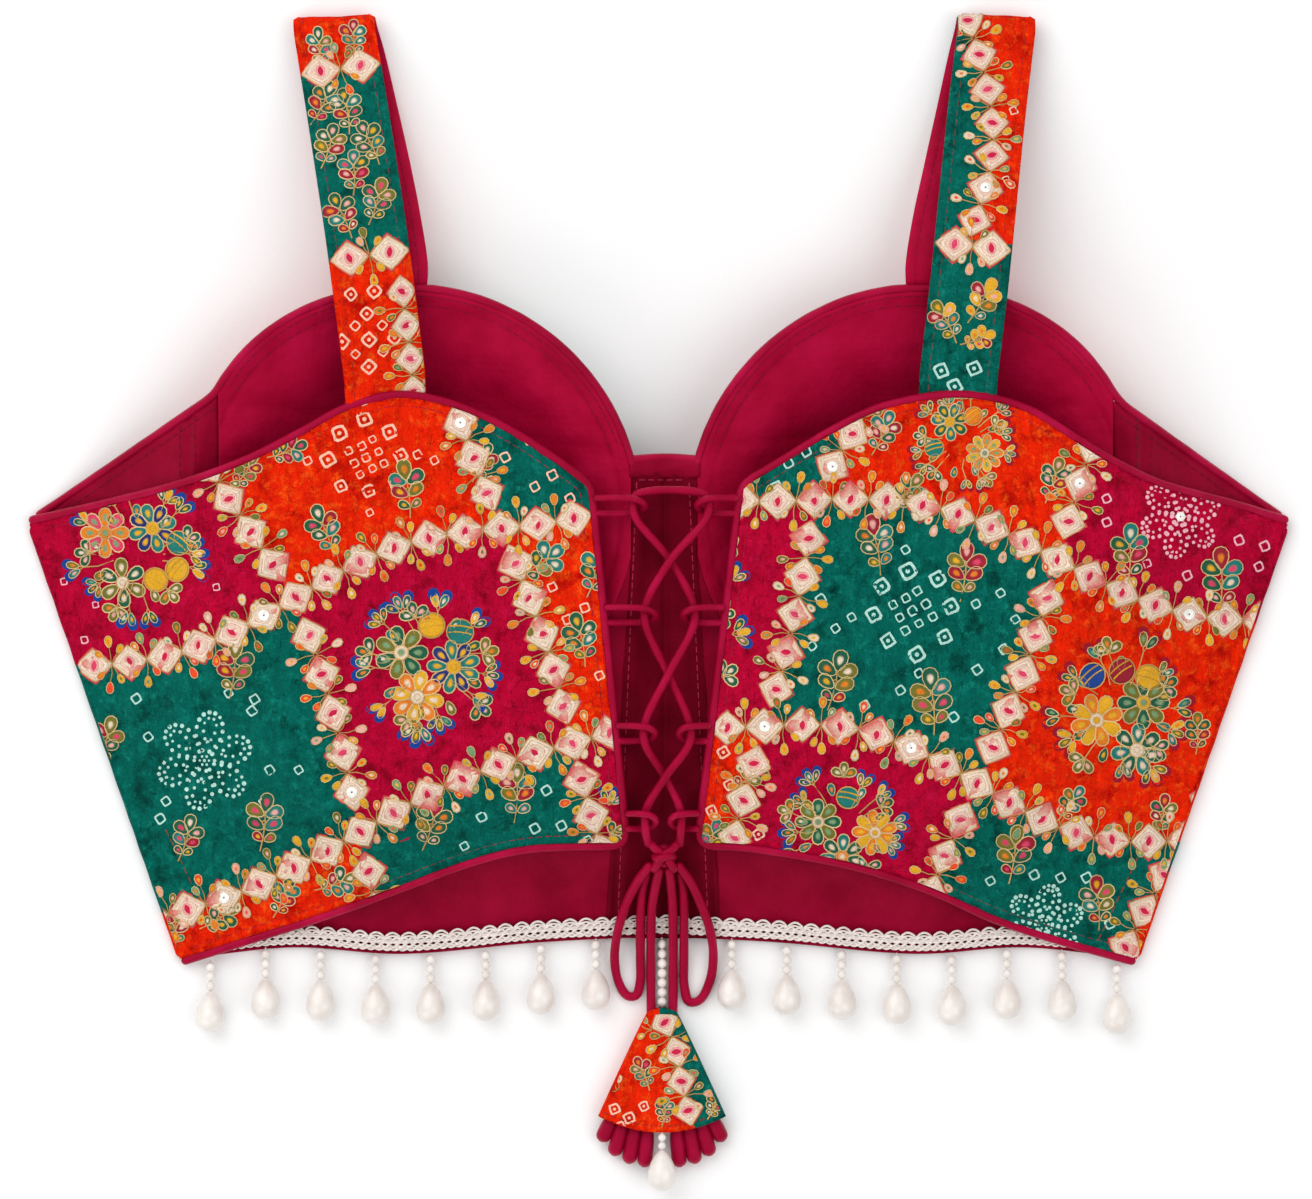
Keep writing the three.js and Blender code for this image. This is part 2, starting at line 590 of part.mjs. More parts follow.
// One cord runs from the knot up through the loops on alternate sides, across the top and back down.
function lacingCord() {
  const inside = LOOP.cord / 2 + CORD / 2 + 0.7; // from a loop's tip to the lacing in it
  const over = CORD / 2 + 0.4; // how far one strand rises, and the other dips, where they cross
  const bend = 3.2; // the lacing runs straight this far each way through a loop
  const last = LACING.length - 1;
  const through = (side, i, first) => {
    const { y, [side]: tip } = LACING[i];
    const x = tip + SIDES[side].sign * inside;
    return [first, -first].map((way) => new THREE.Vector3(x, y + way * bend, laceHeight(y)));
  };
  const middle = (i, rise) => {
    const [a, b] = [LACING[i], LACING[i + 1]];
    const [y, x] = [(a.y + b.y) / 2, (a.left + b.left + a.right + b.right) / 4];
    return new THREE.Vector3(x, y, (laceHeight(a.y) + laceHeight(b.y)) / 2 + rise);
  };
  const toKnot = (side) => {
    const x = KNOT.x + SIDES[side].sign * (KNOT.across + 1.4);
    return new THREE.Vector3(x, KNOT.y + KNOT.along - 0.4, KNOT.z + 0.6);
  };
  const points = [toKnot("left")];
  let side = "left";
  for (let i = last; i >= 0; i--) {
    if (i) points.push(...through(side, i, -1), middle(i - 1, side === "left" ? over : -over));
    else points.push(...through(side, 0, -1));
    if (i) side = side === "left" ? "right" : "left";
  }
  points.push(topTurn("right"), topTurn("left"));
  side = "left";
  for (let i = 0; i <= last; i++) {
    points.push(...through(side, i, 1));
    if (i < last) points.push(middle(i, side === "right" ? over : -over));
    side = side === "left" ? "right" : "left";
  }
  points.push(toKnot("right"));
  add("lacing_cord", cord(points, CORD, 8, 6), TRIM);
}

// Where the lacing turns across between the top two loops.
function topTurn(side) {
  const { y, [side]: tip } = LACING[0];
  const x = tip - SIDES[side].sign * 1.6;
  return new THREE.Vector3(x, y + 4.9, laceHeight(y) - 0.6);
}

// ---- the bow, and the tassel on its tails -------------------------------------------------------
function knot() {
  const ball = new THREE.SphereGeometry(1, 10, 8);
  ball.scale(KNOT.across, KNOT.along, KNOT.thick);
  add("bow_knot", ball, TRIM).position.set(KNOT.x, KNOT.y, KNOT.z);
}

function ties() {
  const path = (rows) => rows.map((row) => new THREE.Vector3(row.x, row.y, row.z));
  for (const side of ["left", "right"]) {
    add(`tie_loop_${side}`, cord(path(TIE_LOOP[side]), CORD, 8, 6), TRIM);
    add(`tie_tail_${side}`, cord(path(TIE_TAIL[side]), CORD, 8, 6), TRIM);
  }
}

// A flattened cone of cloth, open at both ends, with its hem bowed down in the middle.
function tasselCone() {
  const around = 20;
  const sections = 6;
  const squareness = 4;
  const ring = (t, inset) => {
    const wide = lerp(TASSEL.narrow, TASSEL.wide, t);
    const tall = lerp(TASSEL.tallTop, TASSEL.tall, t);
    return Array.from({ length: around }, (_, i) => {
      const turn = (2 * Math.PI * i) / around;
      const round = (Math.abs(Math.cos(turn)) ** squareness + Math.abs(Math.sin(turn)) ** squareness);
      const r = round ** (-1 / squareness);
      const u = r * Math.cos(turn);
      const x = TASSEL.x + u * (wide - inset);
      const y = lerp(TASSEL.top, TASSEL.bottom - TASSEL.dip * (1 - u * u), t);
      return new THREE.Vector3(x, y, tall + r * Math.sin(turn) * (tall - inset));
    });
  };
  const outer = Array.from({ length: sections + 1 }, (_, i) => ring(i / sections, 0));
  const inner = Array.from({ length: sections + 1 }, (_, i) => ring(i / sections, TASSEL.cloth));
  add("tassel_cone", sleeve(outer, inner), PRINT);
}

// A tube with a wall, through matching rings outside and inside.
function sleeve(outer, inner) {
  const n = outer[0].length;
  const rings = [...outer, ...inner.toReversed(), outer[0]];
  const positions = rings.slice(0, -1).flat().flatMap((p) => [p.x, p.y, p.z]);
  const count = rings.length - 1;
  const faces = [];
  for (let i = 0; i < count; i++) {
    for (let j = 0; j < n; j++) {
      const next = ((i + 1) % count) * n;
      const [a, b] = [i * n + j, i * n + ((j + 1) % n)];
      const [c, d] = [next + ((j + 1) % n), next + j];
      faces.push(a, b, c, a, c, d);
    }
  }
  return closed(positions, faces);
}

// Stuffed fingers of cloth that fan out of the cone and come down to the surface.
function tasselFingers() {
  const down = new THREE.Vector3(0, -1, 0);
  for (const side of ["left", "right"]) {
    FINGERS.forEach(({ inner, outer, end }, i) => {
      const { sign } = SIDES[side];
      const root = new THREE.Vector3(TASSEL.x + sign * inner, FINGER.start, FINGER.startHeight);
      const tip = new THREE.Vector3(TASSEL.x + sign * outer, end, FINGER.tipHeight);
      const length = root.distanceTo(tip);
      const profile = [
        [0, 0],
        [FINGER.root, 0],
        [lerp(FINGER.root, FINGER.tip, 0.6), length * 0.45],
        [FINGER.tip, length - FINGER.tip],
        [FINGER.tip * 0.72, length - FINGER.tip * 0.3],
        [0, length],
      ].map(([r, along]) => new THREE.Vector2(r, along));
      const finger = new THREE.LatheGeometry(profile, 8).rotateX(Math.PI);
      const mesh = add(`tassel_finger_${side}_${i + 1}`, finger, TRIM);
      mesh.quaternion.setFromUnitVectors(down, tip.sub(root).normalize());
      mesh.position.copy(root);
    });
  }
}

function tasselPearl() {
  const y = TASSEL.bottom - TASSEL.dip - SEAM;
  pearls("tassel_pearl", TASSEL.x, y, TASSEL.pearlHeight, 2, true, 1.4);
}

for (const side of ["left", "right"]) {
  frontSide(side);
  frontLower(side);
  cup(side);
  frontPiping(side);
  backPanel(side);
  strap(side);
  LACING.forEach((row, i) => lacingLoop(side, row, i + 1));
}
frontCentre();
laceTrim();
hemPearls();
lacingCord();
knot();
ties();
tasselCone();
tasselFingers();
tasselPearl();

export default part;
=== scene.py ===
"""The looks of a back-laced choli blouse that lies face down: printed and embroidered back panels
over padded cups, folded straps, a lace and pearl hem, and a laced back with a bow and a tassel.
Shapes are worked out in millimetres in the part's own frame, and written to meshes in metres."""

import json
import math

import bpy
import numpy as np
from mathutils import Vector
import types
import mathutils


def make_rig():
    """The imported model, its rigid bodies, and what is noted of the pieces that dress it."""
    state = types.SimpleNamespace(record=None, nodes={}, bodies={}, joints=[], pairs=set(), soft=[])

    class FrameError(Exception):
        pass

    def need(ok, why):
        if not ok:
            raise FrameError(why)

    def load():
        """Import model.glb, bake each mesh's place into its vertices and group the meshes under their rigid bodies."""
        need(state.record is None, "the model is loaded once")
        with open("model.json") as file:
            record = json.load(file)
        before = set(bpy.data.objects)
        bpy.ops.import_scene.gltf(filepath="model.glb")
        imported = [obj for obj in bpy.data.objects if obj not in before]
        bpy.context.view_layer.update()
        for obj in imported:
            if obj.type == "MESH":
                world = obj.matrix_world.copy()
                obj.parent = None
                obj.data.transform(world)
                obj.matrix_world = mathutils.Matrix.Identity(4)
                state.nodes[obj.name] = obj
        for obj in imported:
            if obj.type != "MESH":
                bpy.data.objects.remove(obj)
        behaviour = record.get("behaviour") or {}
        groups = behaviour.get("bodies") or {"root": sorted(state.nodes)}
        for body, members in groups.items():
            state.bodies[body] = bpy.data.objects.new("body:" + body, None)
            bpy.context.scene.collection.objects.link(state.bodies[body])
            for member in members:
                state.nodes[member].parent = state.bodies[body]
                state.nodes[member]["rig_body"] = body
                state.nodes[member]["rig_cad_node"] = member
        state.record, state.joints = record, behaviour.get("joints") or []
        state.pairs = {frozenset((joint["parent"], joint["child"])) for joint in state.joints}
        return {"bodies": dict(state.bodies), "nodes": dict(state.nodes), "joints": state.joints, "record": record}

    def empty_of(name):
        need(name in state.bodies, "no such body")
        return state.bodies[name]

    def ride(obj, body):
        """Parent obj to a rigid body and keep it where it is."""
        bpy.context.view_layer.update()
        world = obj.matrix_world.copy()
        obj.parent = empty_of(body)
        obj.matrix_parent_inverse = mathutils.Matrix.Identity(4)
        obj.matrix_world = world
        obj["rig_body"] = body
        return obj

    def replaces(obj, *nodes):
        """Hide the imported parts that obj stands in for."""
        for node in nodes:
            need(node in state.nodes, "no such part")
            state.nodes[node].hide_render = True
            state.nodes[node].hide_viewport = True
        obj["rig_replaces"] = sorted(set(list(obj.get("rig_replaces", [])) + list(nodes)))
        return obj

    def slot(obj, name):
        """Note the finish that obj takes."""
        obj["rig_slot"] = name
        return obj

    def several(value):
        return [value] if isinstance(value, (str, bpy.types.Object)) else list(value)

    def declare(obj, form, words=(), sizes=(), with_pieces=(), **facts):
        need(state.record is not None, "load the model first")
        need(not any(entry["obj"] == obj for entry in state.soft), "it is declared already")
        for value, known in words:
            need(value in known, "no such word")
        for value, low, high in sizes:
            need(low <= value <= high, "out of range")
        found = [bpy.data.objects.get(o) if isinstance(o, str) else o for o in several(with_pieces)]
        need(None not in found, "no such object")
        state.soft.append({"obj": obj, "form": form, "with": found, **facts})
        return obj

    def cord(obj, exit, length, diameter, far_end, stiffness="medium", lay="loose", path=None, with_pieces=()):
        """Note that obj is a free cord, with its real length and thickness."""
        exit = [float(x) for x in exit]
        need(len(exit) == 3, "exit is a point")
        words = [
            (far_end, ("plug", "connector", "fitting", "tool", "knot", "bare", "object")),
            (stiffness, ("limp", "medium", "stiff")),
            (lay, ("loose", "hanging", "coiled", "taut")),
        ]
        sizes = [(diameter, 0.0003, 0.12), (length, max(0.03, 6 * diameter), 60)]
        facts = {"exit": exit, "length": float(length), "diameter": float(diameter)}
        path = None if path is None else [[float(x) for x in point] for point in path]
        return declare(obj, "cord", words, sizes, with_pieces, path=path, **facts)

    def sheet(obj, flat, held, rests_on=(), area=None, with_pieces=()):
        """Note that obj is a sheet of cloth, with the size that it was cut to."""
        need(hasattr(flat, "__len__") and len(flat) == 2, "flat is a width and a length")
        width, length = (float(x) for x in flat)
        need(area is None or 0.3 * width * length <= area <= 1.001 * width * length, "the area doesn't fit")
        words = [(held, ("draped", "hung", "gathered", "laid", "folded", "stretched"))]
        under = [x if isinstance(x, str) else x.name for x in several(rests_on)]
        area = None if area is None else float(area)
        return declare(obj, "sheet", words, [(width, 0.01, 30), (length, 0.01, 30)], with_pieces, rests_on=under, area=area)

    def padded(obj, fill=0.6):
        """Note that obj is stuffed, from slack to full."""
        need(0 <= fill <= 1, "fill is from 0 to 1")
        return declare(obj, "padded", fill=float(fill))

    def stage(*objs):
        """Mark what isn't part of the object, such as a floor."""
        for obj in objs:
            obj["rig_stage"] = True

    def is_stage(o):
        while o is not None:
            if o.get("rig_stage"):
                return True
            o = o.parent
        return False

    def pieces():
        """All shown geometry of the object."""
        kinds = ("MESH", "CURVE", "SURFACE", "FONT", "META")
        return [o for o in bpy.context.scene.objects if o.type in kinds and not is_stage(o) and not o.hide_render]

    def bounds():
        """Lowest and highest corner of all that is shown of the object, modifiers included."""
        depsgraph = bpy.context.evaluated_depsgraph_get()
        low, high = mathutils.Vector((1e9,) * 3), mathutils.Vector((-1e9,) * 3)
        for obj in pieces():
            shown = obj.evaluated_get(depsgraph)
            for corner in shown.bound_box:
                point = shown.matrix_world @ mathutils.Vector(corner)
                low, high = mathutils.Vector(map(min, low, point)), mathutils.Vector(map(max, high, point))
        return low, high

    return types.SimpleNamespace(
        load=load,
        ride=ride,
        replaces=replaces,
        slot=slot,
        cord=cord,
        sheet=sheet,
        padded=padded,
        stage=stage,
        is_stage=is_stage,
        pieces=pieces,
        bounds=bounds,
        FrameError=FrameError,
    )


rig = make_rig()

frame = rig.load()
CAD_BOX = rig.bounds()
MM = 0.001

# ---- the part's dimensions, as in its source -----------------------------------------------------
SEAM, CLOTH, PIPING = 0.3, 1.6, 3.0
CUP_LIFT = 26
CENTRE_X, CENTRE_REACH, CENTRE_SAG = 2, 17, 6
BACK_SAG, BACK_DIP = 0.35, 4.5
SIDE_RISE, HEM_RISE, HEM_LIFT = 75, 80, 10
PARTED_MOST, PARTED_WITHIN = 2.6, 16
SIDE_TOP, SIDE_BOTTOM = (214.9, -0.5), (163.4, -148.9)
CUP_Y, CUP_HALF, CUP_FLAT, CUP_DOME, CUP_INNER, CUP_OUTER = 3, 75.7, 0.3, 1.8, 1.95, 2.2
FOAM, TAPER = 3.6, 0.25
SIDES = {
    "left": dict(sign=-1, cup=83.5, cup_outer=149.5, cup_inner=9.3, hem_inner=18, hem_outer=128),
    "right": dict(sign=1, cup=87.5, cup_outer=154.5, cup_inner=13.3, hem_inner=21, hem_outer=128),
}
COLUMN = {"left": 0, "right": 1}
SIGN = {"left": -1, "right": 1}
NECKLINE = [
    (214.9, 214.9, -0.5), (188, 195, 5.5), (159.5, 168.5, 12.7), (137.8, 151.8, 20.8),
    (120, 137, 30), (105.8, 124, 37.7), (88, 103, 42.2), (68.5, 77, 38.4), (50.5, 59, 30),
    (35, 42.5, 20), (24, 29, 12),
]  # fmt: skip
BACK_HEM = [
    (163.4, 163.4, -148.9), (139, 135.5, -141), (118.5, 116, -134.5), (88.5, 91.5, -123.7),
    (67.5, 66, -115.7), (47, 36, -110.2), (26, 24, -109), (12, 14.5, -109),
]  # fmt: skip
FRONT_HEM = [(0, -141), (40, -143), (88, -147), (125, -144.8), (163.4, -148.9)]
STRAP_WIDTH = {"left": 27.8, "right": 26.6}
STRAP_CLOTH = 2
STRAP_PATH = [
    (-92.9, 101.8, 49, 28.6, 0.1), (-94.6, 103.4, 64, 31.6, 0.12), (-96.9, 105.4, 82, 33.6, 0.1),
    (-99.4, 107.3, 100, 30.6, 0.05), (-102.6, 109.5, 120, 23.2, 0.02), (-106.2, 112, 142, 14.2, 0),
    (-109.4, 114.4, 161, 8.4, 0), (-110.6, 115.3, 168.5, 7.2, 0), (-110.7, 115.2, 172.2, 4.4, 0),
    (-109.9, 114.6, 168.5, 1.7, 0), (-107.6, 112.6, 160, 1.5, 0), (-103.3, 108.6, 142, 5.4, 0),
    (-98.2, 103.6, 120, 14.2, 0), (-94.2, 99.2, 100, 22.6, 0), (-92, 97, 85, 26.9, 0),
]  # fmt: skip
LACE_REACH, LACE_BELOW = 146, 0.8
SMALL_PEARL, DROP_PEARL, DROP_LENGTH, PEARL_Z, PEARL_TILT = 1.65, 4.95, 14.1, 2.85, 0.115
DROP_FIRST, DROP_PITCH = {"left": 21.4, "right": 25}, 18.8
DROP_SLACK = {
    "left": [0.2, 0.6, 1, 0.6, 0.5, 0.8, 0, 2.1],
    "right": [0, 0.8, 0.6, 0.3, 1, 0.5, 0.4, 2.4],
}
LACING = [(5.6, -4.6, 13.1), (-31.5, -0.9, 8.4), (-71.6, -1.2, 7), (-101.5, -0.9, 4.1)]
CORD = 3.2
LOOP_CORD, LOOP_HALF, LOOP_RISE = 2.4, 2.6, 3.5
KNOT, KNOT_ACROSS, KNOT_ALONG = (1.9, -113.4, 19), 4, 4.6
TIE_LOOP = {
    "left": [
        (-3.2, -117, 18), (-6.7, -121.6, 15), (-10.6, -129, 11), (-13.8, -139, 7.9),
        (-15, -149, 3.4), (-13.6, -157, 1.9), (-10.6, -161.6, 1.9), (-7.6, -161.4, 1.9),
        (-6.3, -157, 1.9), (-6.2, -149, 3.6), (-6.2, -139, 7.4), (-6, -131, 9.2),
        (-5.2, -124.5, 10.6), (-3.7, -119.6, 13.2),
    ],
    "right": [
        (7, -117, 18), (10.4, -121.6, 15), (14, -129, 11), (17.6, -139, 7.9), (18.7, -149, 3.4),
        (17.4, -157, 1.9), (13.9, -163.2, 1.9), (10.4, -163.6, 1.9), (8.8, -158, 1.9),
        (8.7, -149, 3.6), (8.7, -139, 7.4), (8.7, -131, 9.2), (8.2, -124.5, 10.6),
        (7.2, -119.6, 13.2),
    ],
}  # fmt: skip
TIE_TAIL = {
    "left": [
        (0.1, -118.6, 17.2), (-1.2, -125, 13), (-2.3, -132, 9.6), (-2.6, -141, 6.8),
        (-2.6, -149, 3.6), (-2.6, -158, 2.2), (-2.5, -170, 3.5),
    ],
    "right": [
        (3.7, -118.6, 17.2), (4.4, -125, 13), (4.9, -132, 9.6), (5, -141, 6.8), (5, -149, 3.6),
        (5, -158, 2.2), (4.9, -170, 3.5),
    ],
}  # fmt: skip
TASSEL_X, TASSEL_TOP, TASSEL_BOTTOM, TASSEL_DIP = 1.2, -167, -202.5, 5.5
TASSEL_NARROW, TASSEL_WIDE, TASSEL_TALL_TOP, TASSEL_TALL, TASSEL_PEARL_Z = 6.8, 21.8, 3.6, 4.6, 8.8
FINGER_START, FINGER_START_Z, FINGER_ROOT, FINGER_TIP, FINGER_TIP_Z = -198, 4.6, 1.1, 2.5, 3.1
# How far in the stitching runs on the straps and the backs, half the width of a boned channel, and a
# cell of the print on the straps and the cone.
STRAP_STITCH, BACK_STITCH, BONE_HALF, PRINT_CELL = 3.3, 2.6, 2.6, 20
FINGERS = [(4, 6.1, -220.2), (7.7, 11.5, -219), (11.4, 16.6, -216.3), (14.5, 21, -211.4)]


# ---- camera --------------------------------------------------------------------------------------
def camera():
    """Straight down from far away, so that the plan keeps its proportions."""
    width_seen, lens, sensor = 446.1, 300, 36
    data = bpy.data.cameras.new("camera")
    data.lens, data.sensor_width = lens, sensor
    cam = bpy.data.objects.new("camera", data)
    bpy.context.scene.collection.objects.link(cam)
    cloth_height = 20
    cam.location = (-0.85 * MM, -26.2 * MM, (width_seen * lens / sensor + cloth_height) * MM)
    bpy.context.scene.camera = cam


camera()


# ---- curves --------------------------------------------------------------------------------------
class Curve:
    """A centripetal Catmull-Rom curve through points, as the part's source uses."""

    def __init__(self, points):
        p = np.asarray(points, float)
        if p.shape[1] == 2:
            p = np.column_stack([p, np.zeros(len(p))])
        self.p = p
        self.q = np.vstack([2 * p[0] - p[1], p, 2 * p[-1] - p[-2]])
        self.knots = np.linalg.norm(np.diff(self.q, axis=0), axis=1) ** 0.5
        self.t = np.linspace(0, 1, 801)
        run = run_along(self.at(self.t))
        self.length, self.share = run[-1], run / run[-1]

    def at(self, t):
        s = np.clip(np.asarray(t, float), 0, 1) * (len(self.p) - 1)
        i = np.minimum(s.astype(int), len(self.p) - 2)
        w = (s - i)[:, None]
        x0, x1, x2, x3 = (self.q[i + k] for k in range(4))
        d0, d1, d2 = (self.knots[i + k][:, None] for k in range(3))
        a = ((x1 - x0) / d0 - (x2 - x0) / (d0 + d1) + (x2 - x1) / d1) * d1
        b = ((x2 - x1) / d1 - (x3 - x1) / (d1 + d2) + (x3 - x2) / d2) * d1
        return x1 + w * (a + w * ((3 * (x2 - x1) - 2 * a - b) + w * (2 * (x1 - x2) + a + b)))

    def even(self, t):
        """Points evenly spaced by length."""
        return self.at(np.interp(t, self.share, self.t))

    def points(self, step):
        return self.even(np.linspace(0, 1, max(4, int(self.length / step))))


def lerp(a, b, t):
    return a + (b - a) * t


def smooth(t):
    t = np.clip(t, 0, 1)
    return t * t * (3 - 2 * t)


def run_along(line):
    """The length of the line up to each of its points."""
    return np.concatenate([[0], np.cumsum(np.linalg.norm(np.diff(line, axis=0), axis=1))])


def unit(v):
    return v / np.maximum(np.linalg.norm(v, axis=-1, keepdims=True), 1e-9)


def waves(x, y, seed, size, count=9):
    """Smooth random ripples between about -1 and 1, with features of that size."""
    own = np.random.default_rng(seed)
    total = 0
    for _ in range(count):
        turn, phase = own.uniform(0, 2 * np.pi, 2)
        k = 2 * np.pi / (size * own.uniform(0.7, 1.6))
        total = total + np.cos(k * (x * np.cos(turn) + y * np.sin(turn)) + phase)
    return total / np.sqrt(count)


# ---- the height field ----------------------------------------------------------------------------
hem_points = Curve(FRONT_HEM).at(np.linspace(0, 1, 81))


def front_hem(x):
    return np.interp(np.abs(x), hem_points[:, 0], hem_points[:, 1])


def side_edge(y):
    t = np.clip((SIDE_TOP[1] - y) / (SIDE_TOP[1] - SIDE_BOTTOM[1]), 0, 1)
    return lerp(SIDE_TOP[0], SIDE_BOTTOM[0], t)


def cup_offset(x):
    return np.where(x < 0, -x - SIDES["left"]["cup"], x - SIDES["right"]["cup"])


def cup_share(x, y):
    dx = cup_offset(x)
    power = np.where(dx < 0, CUP_INNER, CUP_OUTER)
    across = np.abs(dx / CUP_HALF) ** power + np.abs((y - CUP_Y) / CUP_HALF) ** power
    return across ** (1 / power)


def cup_reach(dx):
    power = np.where(dx < 0, CUP_INNER, CUP_OUTER)
    return CUP_HALF * np.maximum(0, 1 - np.abs(dx / CUP_HALF) ** power) ** (1 / power)


def held(x, y, sag):
    from_side = np.maximum(0, side_edge(y) - np.abs(x))
    from_hem = np.maximum(0, y - front_hem(x) + HEM_LIFT)
    lift = CUP_LIFT - sag * np.exp(-(((x - CENTRE_X) / CENTRE_REACH) ** 2))
    return lift * smooth(from_side / SIDE_RISE) * smooth(from_hem / HEM_RISE)


def front_under(x, y):
    share = cup_share(x, y)
    dome = np.clip((share - CUP_FLAT) / (1 - CUP_FLAT), 0, 1) ** CUP_DOME
    return held(x, y, CENTRE_SAG) * dome


def upright(under, x, y, wall):
    step = 1.5
    dx = (under(x + step, y) - under(x - step, y)) / (2 * step)
    dy = (under(x, y + step) - under(x, y - step)) / (2 * step)
    return wall * np.minimum(1.35, np.sqrt(1 + dx * dx + dy * dy))


def front_wall(x, y):
    return upright(front_under, x, y, CLOTH)


def cup_wall(x, y):
    return front_wall(x, y) + FOAM * smooth((1 - cup_share(x, y)) / TAPER)


def front_top(x, y):
    return front_under(x, y) + front_wall(x, y)


def back_under(x, y):
    share = cup_share(x, y)
    dip = np.where(share < 1, BACK_DIP * (1 - share * share) ** 2, 0)
    parted = SEAM + PARTED_MOST * smooth((side_edge(y) - np.abs(x)) / PARTED_WITHIN)
    return np.maximum(held(x, y, BACK_SAG * CENTRE_SAG) - dip, 0) + 1.05 * CLOTH + parted


def back_wall(x, y):
    return upright(back_under, x, y, CLOTH)


# ---- colours and materials -----------------------------------------------------------------------
def rgb(r, g, b):
    """A colour from 0 to 255 a channel, as light."""
    c = np.array([r, g, b], float) / 255
    return tuple(np.where(c <= 0.04045, c / 12.92, ((c + 0.055) / 1.055) ** 2.4))


class Finish:
    """A node material with a few helpers for its graph."""

    def __init__(self, name, roughness, gloss=0.12, **sockets):
        self.material = bpy.data.materials.new(name)
        self.material.use_nodes = True
        self.tree = self.material.node_tree
        self.shader = self.tree.nodes["Principled BSDF"]
        for socket, value in dict(Roughness=roughness, Specular_IOR_Level=gloss, **sockets).items():
            self.feed(self.shader.inputs[socket.replace("_", " ")], value)
        self.place = self.node("ShaderNodeTexCoord").outputs["Object"]

    def feed(self, socket, value):
        """A link from another node's output, or a value of the socket's own."""
        if hasattr(value, "is_linked"):
            self.tree.links.new(value, socket)
        else:
            socket.default_value = (*value, 1) if socket.type == "RGBA" else value

    def node(self, kind, inputs=(), **settings):
        made = self.tree.nodes.new(kind)
        for key, value in settings.items():
            setattr(made, key, value)
        for socket, value in dict(inputs).items():
            self.feed(made.inputs[socket], value)
        return made

    def stretched(self, scale, turn=0.0):
        inputs = {"Scale": scale, "Rotation": (0, 0, turn), "Vector": self.place}
        return self.node("ShaderNodeMapping", inputs).outputs["Vector"]

    def noise(self, size_mm, detail=3.0, vector=None, roughness=0.5):
        inputs = {"Scale": 1 / (size_mm * MM), "Detail": detail, "Roughness": roughness}
        inputs["Vector"] = vector or self.place
        return self.node("ShaderNodeTexNoise", inputs).outputs["Fac"]

    def ramp(self, source, stops, interpolation="LINEAR"):
        made = self.node("ShaderNodeValToRGB", {"Fac": source})
        made.color_ramp.interpolation = interpolation
        elements = made.color_ramp.elements
        while len(elements) < len(stops):
            elements.new(0.5)
        for element, (position, colour) in zip(elements, stops):
            element.position, element.color = position, (*colour, 1)
        return made.outputs["Color"]

    def grey(self, source, low, dark, high, light):
        return self.ramp(source, [(low, (dark,) * 3), (high, (light,) * 3)])

    def mix(self, a, b, share, blend="MIX"):
        inputs = {6: a, 7: b, 0: share}
        return self.node("ShaderNodeMix", inputs, data_type="RGBA", blend_type=blend).outputs[2]

    def math(self, operation, *values):
        inputs = dict(enumerate(values))
        return self.node("ShaderNodeMath", inputs, operation=operation).outputs[0]

    def weave(self, pitch_mm):
        """Over and under threads, from 0 to 1."""
        inputs = {"Scale": math.pi / 10 / (pitch_mm * MM), "Distortion": 0.6, "Detail Scale": 2.0}
        inputs["Vector"] = self.place
        made = [self.node("ShaderNodeTexWave", inputs, bands_direction=axis) for axis in ("X", "Y")]
        return self.math("MULTIPLY", *(wave.outputs["Fac"] for wave in made))

    def finish(self, colour, *bumps):
        """The base colour, and layers of bump: a height from 0 to 1 and its depth in millimetres."""
        normal = {}
        for height, depth in bumps:
            made = self.node("ShaderNodeBump", {"Distance": depth * MM, "Height": height, **normal})
            normal = {"Normal": made.outputs["Normal"]}
        for socket, value in {"Base Color": colour, **normal}.items():
            self.feed(self.shader.inputs[socket], value)
        return self.material


